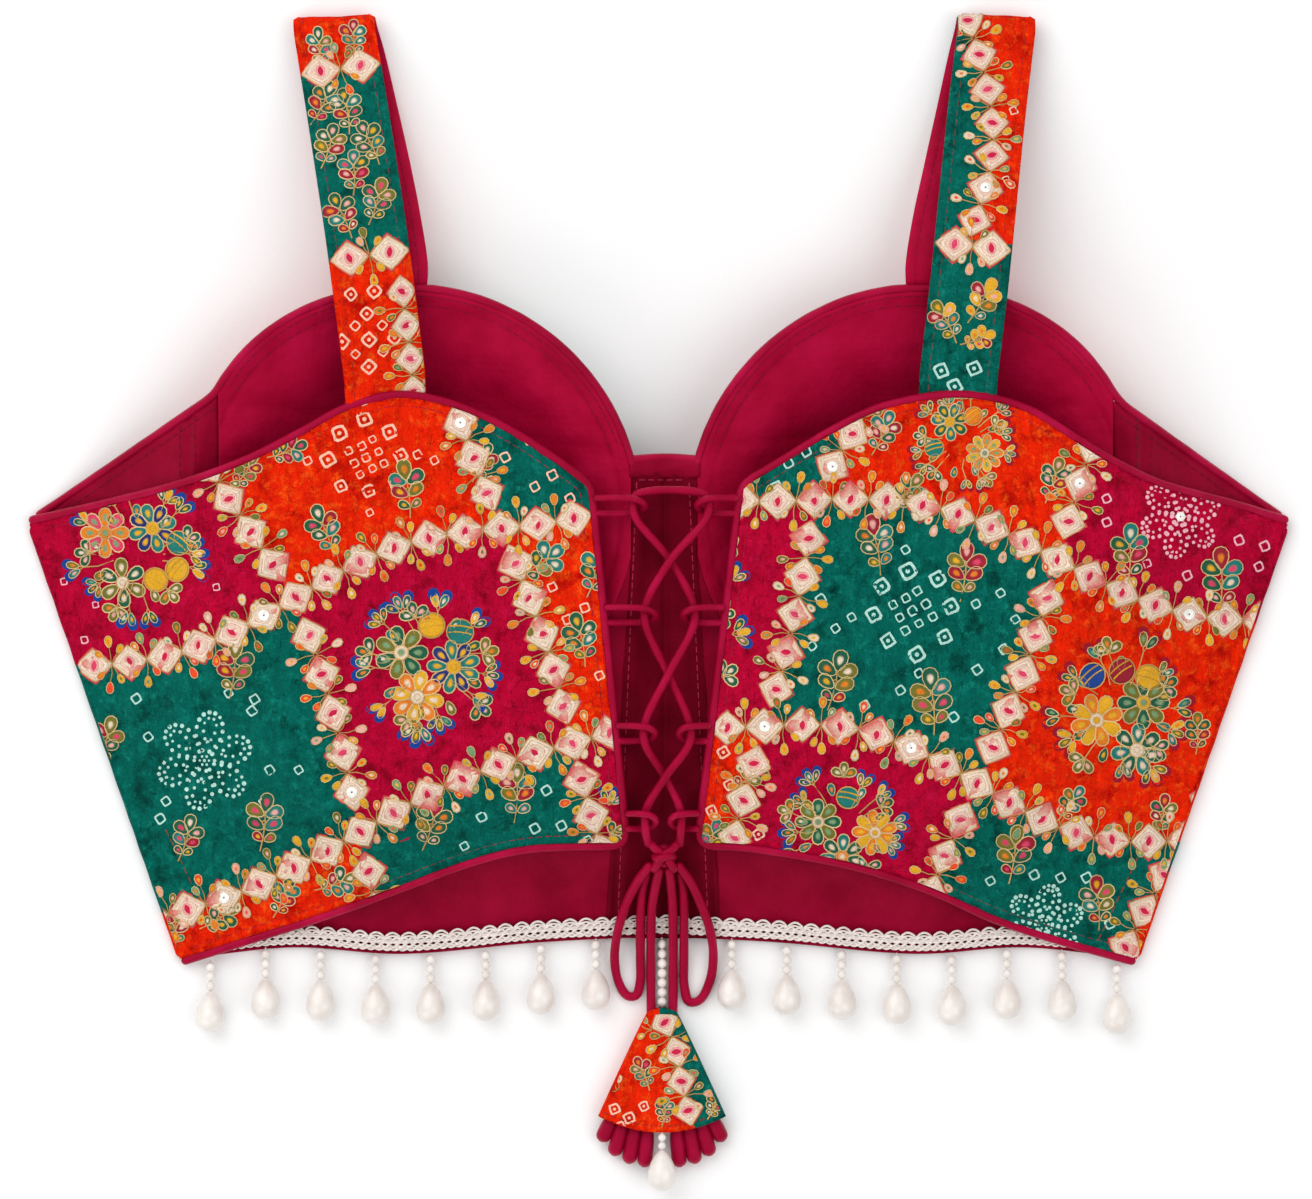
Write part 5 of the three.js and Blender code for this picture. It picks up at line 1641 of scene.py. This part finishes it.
# ---- straps --------------------------------------------------------------------------------------
class Strap:
    """A band of two cloths, folded in two, with flat coordinates across it and along it."""

    def __init__(self, side):
        self.side, column = side, COLUMN[side]
        self.width = STRAP_WIDTH[side]
        # Each end goes on a little, into its seam.
        rows = [STRAP_PATH[0], *STRAP_PATH, STRAP_PATH[-1]]
        path = [(row[column], row[2], row[3]) for row in rows]
        path[0] = tuple(np.array(path[0]) + (-0.4 * SIGN[side], -9, -0.9))
        path[-1] = tuple(np.array(path[-1]) + (0.4 * SIGN[side], -8, -2.2))
        self.start = 9.05
        self.curve = Curve(path)
        self.rolls = [row[4] * SIGN[side] for row in rows]
        first, seventh = STRAP_PATH[0], STRAP_PATH[7]
        self.lean = math.atan2(seventh[column] - first[column], seventh[2] - first[2])
        fold = np.argmax(self.curve.at(self.curve.t)[:, 1])
        self.fold = self.curve.share[fold] * self.curve.length - self.start
        self.end = self.curve.length - self.start

    def frame(self, s):
        t = np.interp((s + self.start) / self.curve.length, self.curve.share, self.curve.t)
        roll = np.interp(t * (len(self.rolls) - 1), np.arange(len(self.rolls)), self.rolls)
        lean = self.lean * (0.25 + 0.75 * smooth(np.abs(s - self.fold) / 18))
        across = unit(np.column_stack([np.cos(lean), -np.sin(lean), np.sin(roll)]))
        along = unit(self.curve.at(t + 1e-3) - self.curve.at(t - 1e-3))
        return self.curve.at(t), across, unit(np.cross(across, along))

    def place(self, w, s, out):
        """A place that far across (from -0.5 to 0.5 of the width, in mm), along and out."""
        at, across, up = self.frame(np.ravel(s))
        return at + across * np.ravel(w)[:, None] + up * np.ravel(out)[:, None]

    def bumps(self, w, s):
        edge = self.width / 2 - np.abs(w)
        seed = 101 if self.side == "left" else 107
        groove = -0.3 * np.exp(-(((edge - STRAP_STITCH) / 0.9) ** 2))
        soft = 0.22 * waves(w, s, seed, 16) + 0.12 * waves(w, s, seed + 1, 7)
        return groove + soft * smooth(edge / 3) - 0.9 * smooth((1.4 - edge) / 1.4)

    def outer(self, w, s, lift):
        return self.place(w, s, STRAP_CLOTH / 2 + 0.15 + self.bumps(w, s) + lift)

    def inner(self, w, s, lift):
        return self.place(w, s, -(STRAP_CLOTH / 2 + 0.1 + 0.7 * self.bumps(w, s) + lift))

    def dye(self, w, s):
        """The pattern's grid coordinates along the strap: where the colour changes."""
        if self.side == "left":
            u, v = 1 + (s - 42) / PRINT_CELL, (s - 111) / PRINT_CELL
            return np.stack([np.clip(u, 0.2, 1.8), np.clip(v, -0.8, 0.8)], -1)
        to_chain = np.minimum(w - self.zigzag(s), s - 47)
        u = 1 - np.clip(to_chain / PRINT_CELL, -0.8, 0.8)
        return np.stack([u, np.full_like(u, -0.5)], -1)

    def zigzag(self, s):
        share = np.clip((s - 47) / (self.fold - 47), 0, 1)
        return -4 + 9.5 * np.sin(share * 3.1 + 0.2) - 5.5 * share


def strap(side):
    band_ = Strap(side)
    s = np.linspace(-band_.start, band_.end, 200)
    w = np.concatenate([[-0.5], np.linspace(-0.485, 0.485, 23), [0.5]]) * band_.width
    sg, wg = np.meshgrid(s, w, indexing="ij")
    outer = band_.outer(wg.ravel(), sg.ravel(), np.zeros(wg.size))
    inner = band_.inner(wg.ravel(), sg.ravel(), np.zeros(wg.size))
    n, m = wg.shape
    grid = band_.dye(wg, sg)
    quads = strip_faces(n, m, closed=False)
    a, b, c = (outer[quads[0, k]] for k in range(3))
    middle = band_.frame(s[:1])[2][0]
    if np.cross(b - a, c - a) @ middle < 0:
        quads = quads[:, ::-1]
    form = Form().add(outer, [quads], 0, grid=grid)
    form.add(inner, [quads[:, ::-1]], 1, grid=grid)
    index = np.arange(n * m).reshape(n, m)
    rim = rim_of(index)
    form.face(np.column_stack([rim, np.roll(rim, -1), np.roll(rim, -1) + n * m, rim + n * m]), 0)
    cloth = form.piece(f"strap_{side}_cloth", [PRINT, LINING], "printed_cloth", [f"strap_{side}"])

    st = Stitchery(113 if side == "left" else 127)
    half, fold = band_.width / 2, band_.fold
    row = lambda at, n: (np.array([(x, at) for x in n]), np.tile((1.0, 0.0), (len(n), 1)))
    if side == "left":
        for at in (42, 111):
            chain(st, *row(at, (-half + 7, half - 7)), 13.8)
        s_run = np.arange(-6, 36, 11.5)
        centres = np.array([(half - 4.5, at) for at in s_run])
        chain(st, centres, np.tile((0.0, 1.0), (len(centres), 1)), 11.5, across=5.2)
    else:
        s_run = np.arange(54, fold + 4, 12.2)
        centres = np.column_stack([band_.zigzag(s_run), s_run])
        ways = unit(np.gradient(centres, axis=0))
        chain(st, centres, ways, 12.4, across=5.9)
        chain(st, *row(45, (-half + 7, half - 7)), 13.8)
    draw(st, MOTIFS[f"strap_{side}"])
    for edge in (-1, 1):
        line = np.column_stack([np.full(60, edge * (half - STRAP_STITCH)), np.linspace(-6, fold, 60)])
        stitch_line(st, line, rgb(140, 30, 40), 2.3, 1.3)
    box = Outline([(-half + 0.3, -7), (half - 0.3, -7), (half - 0.3, fold + 3), (-half + 0.3, fold + 3)])
    st.piece(f"strap_{side}_embroidery", band_.outer, box)

    back = Stitchery(131)
    for edge in (-1, 1):
        line = np.column_stack(
            [np.full(60, edge * (half - STRAP_STITCH)), np.linspace(fold + 2, band_.end - 1, 60)]
        )
        stitch_line(back, line, rgb(110, 0, 28))
    back.piece(f"strap_{side}_stitching", band_.inner)
    return cloth


straps = {side: strap(side) for side in ("left", "right")}


# ---- lace and pearls -----------------------------------------------------------------------------
def hem_lace():
    """A looped gimp braid: straight core threads, crossing waves and a scalloped edge."""
    form = Form()
    x = np.arange(-LACE_REACH, LACE_REACH, 0.46)
    base = front_hem(x) + LACE_BELOW
    z = front_top(x, base + 3) + 2.6 * SEAM + 0.5
    pitch = 5.5
    turn = 2 * np.pi * x / pitch

    def strand(up, lift, radius):
        y = base + up + 0.05 * waves(x, 0, int(radius * 1000), 4)
        slope = front_top(x, y) - front_top(x, base + 3)
        tube(form, np.column_stack([x, y, z + slope + lift]), radius, 5)

    for up in (1.0, 3.6):
        strand(up + 0 * x, 0.0, 0.5)
    crossings = ((3.7, 0.85, 0.0, 0.42), (2.2, 0.8, 1.4, 0.42), (0.8, 0.55, 0.7, 0.4))
    for middle, swing, offset, size in crossings:
        for sign in (1, -1):
            sway = sign * swing * np.sin(turn + offset)
            strand(middle + sway, 0.45 + 0.2 * sign * np.cos(turn + offset), size)
    scallop = np.abs(np.sin(np.pi * x / pitch)) ** 0.75
    strand(4.3 + 1.95 * scallop, 0.25, 0.42)
    strand(4.1 + 1.0 * scallop, 0.5, 0.34)
    return form.piece("hem_lace_braid", [LACE], "lace", ["hem_lace"])


hem_lace()


def hem_band():
    """The narrow bound edge below the lace."""
    x = np.linspace(-160, 160, 260)
    y = front_hem(x) + 0.3
    line = np.column_stack([x, y, front_top(x, y + 1) - 0.5])
    line[:, 2] = np.maximum(line[:, 2], 0.8)
    # A darker copy of the lining: painted shade under the lace.
    return tube(Form(), line, 0.6, 8).piece("front_hem_edge", [SHADED_LINING], "lining_cloth")


hem_band()


def lathe(form, profile, place, sides=18):
    """A turned shape down a line of radius and distance, put in place by a function."""
    turn = around_at(sides)
    r, along = np.array(profile).T
    down = np.broadcast_to(-along[:, None], (len(r), sides))
    ring = np.stack([r[:, None] * np.cos(turn), down, r[:, None] * np.sin(turn)], axis=-1)
    faces = [strip_faces(len(r), sides)[:, ::-1]]
    first = np.arange(sides)
    faces += [first[None], (first + (len(r) - 1) * sides)[::-1][None]]
    form.add(place(ring.reshape(-1, 3)), faces)


def round_profile(radius, start, n=9):
    turn = np.linspace(0.06, np.pi - 0.06, n)
    return [(radius * math.sin(t), start + radius - radius * math.cos(t)) for t in turn]


def drop_profile(start, radius, length, n=24):
    """An egg with its narrow end at the top."""
    turn = np.linspace(0.1, np.pi - 0.06, n)
    z, swell = np.cos(turn), 0.3
    r = radius * np.sin(turn) * (1 - swell * z) / (1 + 0.5 * swell**2)
    return list(zip(r, start + length * (1 - z) / 2))


def pearl_strand(name, at, count, drop, small=SMALL_PEARL, tilt=0.0):
    def place(p):
        c, s = math.cos(-tilt), math.sin(-tilt)
        x, y, z = p.T
        return np.column_stack([x, y * c - z * s, y * s + z * c]) + at

    form = Form()
    for i in range(count):
        lathe(form, round_profile(small, 2 * small * i), place, 14)
    end = count * 2 * small
    if drop:
        lathe(form, drop_profile(end, DROP_PEARL, DROP_LENGTH), place, 24)
    thread = np.array([(0, 0.4, 0), (0, -end / 2, 0), (0, -end - (1 if drop else 0), 0)], float)
    tube(form, place(thread), 0.3, 6, slot=1)
    return form.piece(f"{name}_beads", [PEARL, LACE], "pearl", [name])


for side in ("left", "right"):
    for i, slack in enumerate(DROP_SLACK[side]):
        x = SIGN[side] * (DROP_FIRST[side] + i * DROP_PITCH)
        spot = np.array([x, float(front_hem(x)) - SEAM - slack, PEARL_Z])
        pearl_strand(f"pearl_drop_{side}_{i + 1}", spot, 3, True, tilt=PEARL_TILT)
spot = np.array([TASSEL_X, float(front_hem(TASSEL_X)) - 4 * SEAM, PEARL_Z])
pearl_strand("pearl_string_centre", spot, 7, False)


# ---- lacing --------------------------------------------------------------------------------------
def lace_height(y):
    return float(back_under(np.array(20.0), np.array(float(y)))) + CLOTH / 2 + 1.6


def lacing_edge(side, y):
    a, b = NECKLINE[-1], BACK_HEM[-1]
    out = PIPING / 2 + 1.4 * SEAM
    x = lerp(a[COLUMN[side]], b[COLUMN[side]], (a[2] - y) / (a[2] - b[2])) - 4 * SEAM - out - PIPING / 2
    return SIGN[side] * x


def tip_of(row, side):
    return LACING[row][1 + COLUMN[side]]


def lacing_loop(side, row):
    y, tip = LACING[row][0], tip_of(row, side)
    start, z = lacing_edge(side, y) + SIGN[side] * 2.2, lace_height(y)
    path = [
        (0, LOOP_HALF, 0.4), (0.4, LOOP_HALF, 1), (0.8, LOOP_HALF * 0.8, 1), (1, 0, 0),
        (0.8, -LOOP_HALF * 0.8, -1), (0.4, -LOOP_HALF, -1), (0, -LOOP_HALF, -0.4),
    ]  # fmt: skip
    points = [(lerp(start, tip, t), y + up, z + rise * LOOP_RISE) for t, up, rise in path]
    name = f"lacing_loop_{side}_{row + 1}"
    return rouleau(f"{name}_cord", points, LOOP_CORD, [name], 10, 0.8)[0]


def lacing_points():
    inside, over, bend = LOOP_CORD / 2 + CORD / 2 + 0.7, CORD / 2 + 0.4, 3.2
    last = len(LACING) - 1

    def through(side, i, first):
        y = LACING[i][0]
        x = tip_of(i, side) + SIGN[side] * inside
        return [(x, y + way * bend, lace_height(y)) for way in (first, -first)]

    def middle(i, rise):
        a, b = LACING[i], LACING[i + 1]
        x = (a[1] + b[1] + a[2] + b[2]) / 4
        return (x, (a[0] + b[0]) / 2, (lace_height(a[0]) + lace_height(b[0])) / 2 + rise)

    def to_knot(side):
        x = KNOT[0] + SIGN[side] * (KNOT_ACROSS + 1.4)
        return (x, KNOT[1] + KNOT_ALONG - 0.4, KNOT[2] + 0.6)

    def top_turn(side):
        y = LACING[0][0]
        x = tip_of(0, side) - SIGN[side] * 1.6
        return (x, y + 4.9, lace_height(y) - 0.6)

    other = {"left": "right", "right": "left"}
    points, side = [to_knot("left")], "left"
    for i in range(last, -1, -1):
        points += through(side, i, -1)
        if i:
            points.append(middle(i - 1, over if side == "left" else -over))
            side = other[side]
    points += [top_turn("right"), top_turn("left")]
    side = "left"
    for i in range(last + 1):
        points += through(side, i, 1)
        if i < last:
            points.append(middle(i, over if side == "right" else -over))
        side = other[side]
    return [*points, to_knot("right")]


for row in range(len(LACING)):
    for side in ("left", "right"):
        lacing_loop(side, row)
rouleau("lacing_cord_cloth", lacing_points(), CORD - 0.3, ["lacing_cord"])


def bow_knot():
    """Two crossed strands under a wrap."""
    form, at = Form(), np.array(KNOT, float)
    turn = np.linspace(0, 2 * np.pi, 40)
    wrap = np.column_stack([2.9 * np.cos(turn), 0.5 * np.sin(2 * turn), 2.3 * np.sin(turn)])
    tube(form, at + wrap + (0, -0.4, 0), 1.5, 10, caps=False)
    for sign in (-1, 1):
        across = [(4.6, 4.2, 0.4), (2.9, 2.4, 1.2), (0, 0.4, 1.0 + 0.6 * sign)]
        across += [(-2.2, -2.6, 0.9), (-3.4, -4.4, -0.6)]
        strand = Curve([(sign * x, y, z) for x, y, z in across])
        tube(form, at + strand.points(0.7), 1.5, 10)
    low = np.column_stack([2.4 * np.cos(turn), 2.6 * np.sin(turn), -1.4 + 0 * turn])
    tube(form, at + low, 1.6, 10, caps=False)
    return form.piece("bow_knot_cord", [TRIM], "trim_cord", ["bow_knot"])


bow_knot()


# ---- tassel --------------------------------------------------------------------------------------
def cone_half(t):
    return lerp(0.74 * TASSEL_NARROW, TASSEL_WIDE, t**0.95)


def cone_crown(u, t):
    """How much the narrow end is arched."""
    return 1.5 * (1 - u * u) * (1 - t) ** 3


def cone_surface(x, y, lift):
    """A place on the upper face of the tassel's cone."""
    t = np.full_like(x, 0.5)
    for _ in range(25):
        u = np.clip((x - TASSEL_X) / cone_half(t), -0.999, 0.999)
        bottom = TASSEL_BOTTOM - TASSEL_DIP * (1 - u * u)
        t = np.clip((y - cone_crown(u, t) - TASSEL_TOP) / (bottom - TASSEL_TOP), 0, 1)
    tall = lerp(TASSEL_TALL_TOP, TASSEL_TALL, t)
    rise = (1 - u**4) ** 0.25
    puff = 0.35 * waves(x, y, 141, 9) * smooth((1 - np.abs(u)) / 0.2)
    return np.column_stack([x, y, tall * (1 + rise) + lift + puff])


def cone_chain(y):
    """The line of the diamonds down the cone, in plan."""
    t = np.clip((y - TASSEL_TOP) / (TASSEL_BOTTOM - TASSEL_TOP), 0, 1.2)
    return TASSEL_X - 0.8 + 12.0 * t**1.1 + 1.6 * np.sin(t * 5)


def tassel_cone():
    around, sections = 72, 30
    turn = around_at(around)
    c, s = np.cos(turn), np.sin(turn)
    r = (np.abs(c) ** 4 + np.abs(s) ** 4) ** -0.25
    u = r * c
    form, rings = Form(), []
    for inset, steps in ((0, range(sections + 1)), (1.0, range(sections, -1, -1))):
        for i in steps:
            t = i / sections
            wide, tall = cone_half(t), lerp(TASSEL_TALL_TOP, TASSEL_TALL, t)
            x = TASSEL_X + u * (wide - inset)
            y = lerp(TASSEL_TOP, TASSEL_BOTTOM - TASSEL_DIP * (1 - u * u), t) + cone_crown(u, t)
            puff = 0.35 * waves(x, y, 141, 9) * smooth((1 - np.abs(u)) / 0.2) * (inset == 0) * (s > 0)
            rings.append(np.column_stack([x, y, tall + r * s * (tall - inset) + puff]))
    points = np.concatenate(rings)
    to_chain = cone_chain(points[:, 1]) - points[:, 0]
    grid = np.column_stack([1 - np.clip(to_chain / PRINT_CELL, -0.8, 0.8), np.full(len(points), -0.5)])
    half = (sections + 1) * around
    outer = strip_faces(sections + 1, around)
    form.add(points[:half], [outer], 0, grid=grid[:half])
    form.add(points[half:], [strip_faces(sections + 1, around)], 1, grid=grid[half:])
    here, nxt = np.arange(around), np.roll(np.arange(around), -1)
    for a, b in (((sections) * around, half), (2 * half - around, 0)):
        form.face(np.column_stack([here + a, nxt + a, nxt + b, here + b]), 0)
    cone = form.piece("tassel_cone_cloth", [PRINT, LINING], "printed_cloth", ["tassel_cone"])

    st = Stitchery(151)
    ys = TASSEL_TOP - np.array([3.5, 13.5, 23.5, 33.5])
    centres = np.column_stack([cone_chain(ys), ys])
    ways = unit(np.gradient(centres, axis=0))
    chain(st, centres, ways, 10.8, across=5.0)
    draw(st, MOTIFS["cone"])
    edge_t = np.linspace(-0.93, 0.93, 60)
    hem_line = np.column_stack(
        [TASSEL_X + edge_t * TASSEL_WIDE, TASSEL_BOTTOM - TASSEL_DIP * (1 - edge_t**2) + 2.2]
    )
    stitch_line(st, hem_line, rgb(150, 40, 40), 1.8, 1.0)
    outline = [(TASSEL_X + s_ * cone_half(t) * 0.95, lerp(TASSEL_TOP, TASSEL_BOTTOM, t))
               for s_, ts in ((-1, (0.02, 0.98)), (1, (0.98, 0.02))) for t in ts]  # fmt: skip
    lower = [
        (TASSEL_X + k * TASSEL_WIDE, TASSEL_BOTTOM - TASSEL_DIP * (1 - k * k) + 0.4)
        for k in np.linspace(-0.85, 0.85, 20)
    ]
    shape = outline[:2] + lower + outline[2:]
    st.piece("tassel_cone_embroidery", cone_surface, Outline(shape))
    return cone


cone = tassel_cone()


def tassel_fingers():
    made = []
    for side in ("left", "right"):
        for i, (inner, outer, end) in enumerate(FINGERS):
            sign = SIGN[side]
            root = np.array([TASSEL_X + sign * inner, FINGER_START, FINGER_START_Z])
            tip = np.array([TASSEL_X + sign * outer, end, FINGER_TIP_Z])
            length = np.linalg.norm(tip - root)
            t = np.linspace(0.02, 0.995, 26)
            line = lerp(root, tip, t[:, None])
            swell = lerp(FINGER_ROOT, FINGER_TIP * 1.06, smooth(t * 1.5))
            end_round = np.sqrt(np.maximum(0.0, 1 - np.clip((t * length - length + 2.7) / 2.7, 0, 1) ** 2))
            radius = np.maximum(0.18, swell * end_round)
            form = tube(Form(), line, radius, 14, caps=False)
            p = form.points[0]
            p[:, 2] += 0.1 * waves(p[:, 0], p[:, 1], 160 + i, 5)
            name = f"tassel_finger_{side}_{i + 1}"
            piece = form.piece(f"{name}_cloth", [TRIM], "trim_cord", [name])
            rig.padded(piece, fill=0.9)
            made.append(piece)
    return made


fingers = tassel_fingers()
spot = np.array([TASSEL_X, TASSEL_BOTTOM - TASSEL_DIP - SEAM, TASSEL_PEARL_Z])
tassel_pearl = pearl_strand("tassel_pearl", spot, 2, True, 1.4)


# ---- what each soft piece is ---------------------------------------------------------------------
tie_cord(*tails["left"], "fitting", [cone, tassel_pearl, *fingers])
tie_cord(*tails["right"], "object")
for side in ("left", "right"):
    cloth, corded, worked = backs[side]
    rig.sheet(
        cloth, flat=(0.205, 0.2), held="laid", rests_on=[f"cup_{side}"], area=0.0283,
        with_pieces=[corded, worked],
    )  # fmt: skip
    _, lower, flank, edging = fronts[side]
    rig.sheet(lower, flat=(0.14, 0.085), held="laid", area=0.0112)
    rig.sheet(flank, flat=(0.08, 0.16), held="laid", area=0.0094)
    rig.sheet(straps[side], flat=(STRAP_WIDTH[side] * MM, 0.235), held="folded")
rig.sheet(fronts["centre"], flat=(0.039, 0.165), held="laid", area=0.0053)
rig.sheet(cone, flat=(0.075, 0.04), held="stretched", area=0.0027)


# ---- floor and light -----------------------------------------------------------------------------
def studio():
    floor, half = Form(), 3000
    corners = [(-half, -half, 0), (half, -half, 0), (half, half, 0), (-half, half, 0)]
    floor.add(corners, [[[0, 1, 2, 3]]])
    mesh = floor.piece("floor", [])
    mesh.parent = None
    del mesh["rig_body"]
    f = Finish("floor", 0.9, 0.1)
    mesh.data.materials.append(f.finish(f.grey(f.noise(0.8, 2), 0.2, 0.9, 0.8, 0.93)))
    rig.stage(mesh)
    world = bpy.data.worlds.new("studio")
    bpy.context.scene.world = world
    world.use_nodes = True
    world.node_tree.nodes["Background"].inputs["Color"].default_value = (1, 1, 1, 1)
    world.node_tree.nodes["Background"].inputs["Strength"].default_value = 0.62
    for name, place, size, power in (
        ("key", (-0.7, 0.9, 1.2), 1.7, 15.3),
        ("fill", (0.9, -0.3, 1.4), 1.2, 7),
        ("low", (-0.9, -0.9, 0.8), 1.0, 4),
    ):
        data = bpy.data.lights.new(name, "AREA")
        data.size, data.energy = size, power
        lamp = bpy.data.objects.new(name, data)
        bpy.context.scene.collection.objects.link(lamp)
        lamp.location = place
        aim = np.array([0, -0.03, 0.01]) - np.array(place)
        lamp.rotation_mode = "QUATERNION"
        lamp.rotation_quaternion = Vector(aim).to_track_quat("-Z", "Y")
    bpy.context.scene.view_settings.view_transform = "Standard"
    bpy.context.scene.view_settings.look = "None"


studio()

# The CAD's box and the visual model's, to compare.
lo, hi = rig.bounds()
with open("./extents.json", "w") as out:
    json.dump({"cad": [list(c) for c in CAD_BOX], "visual": [list(lo), list(hi)]}, out)
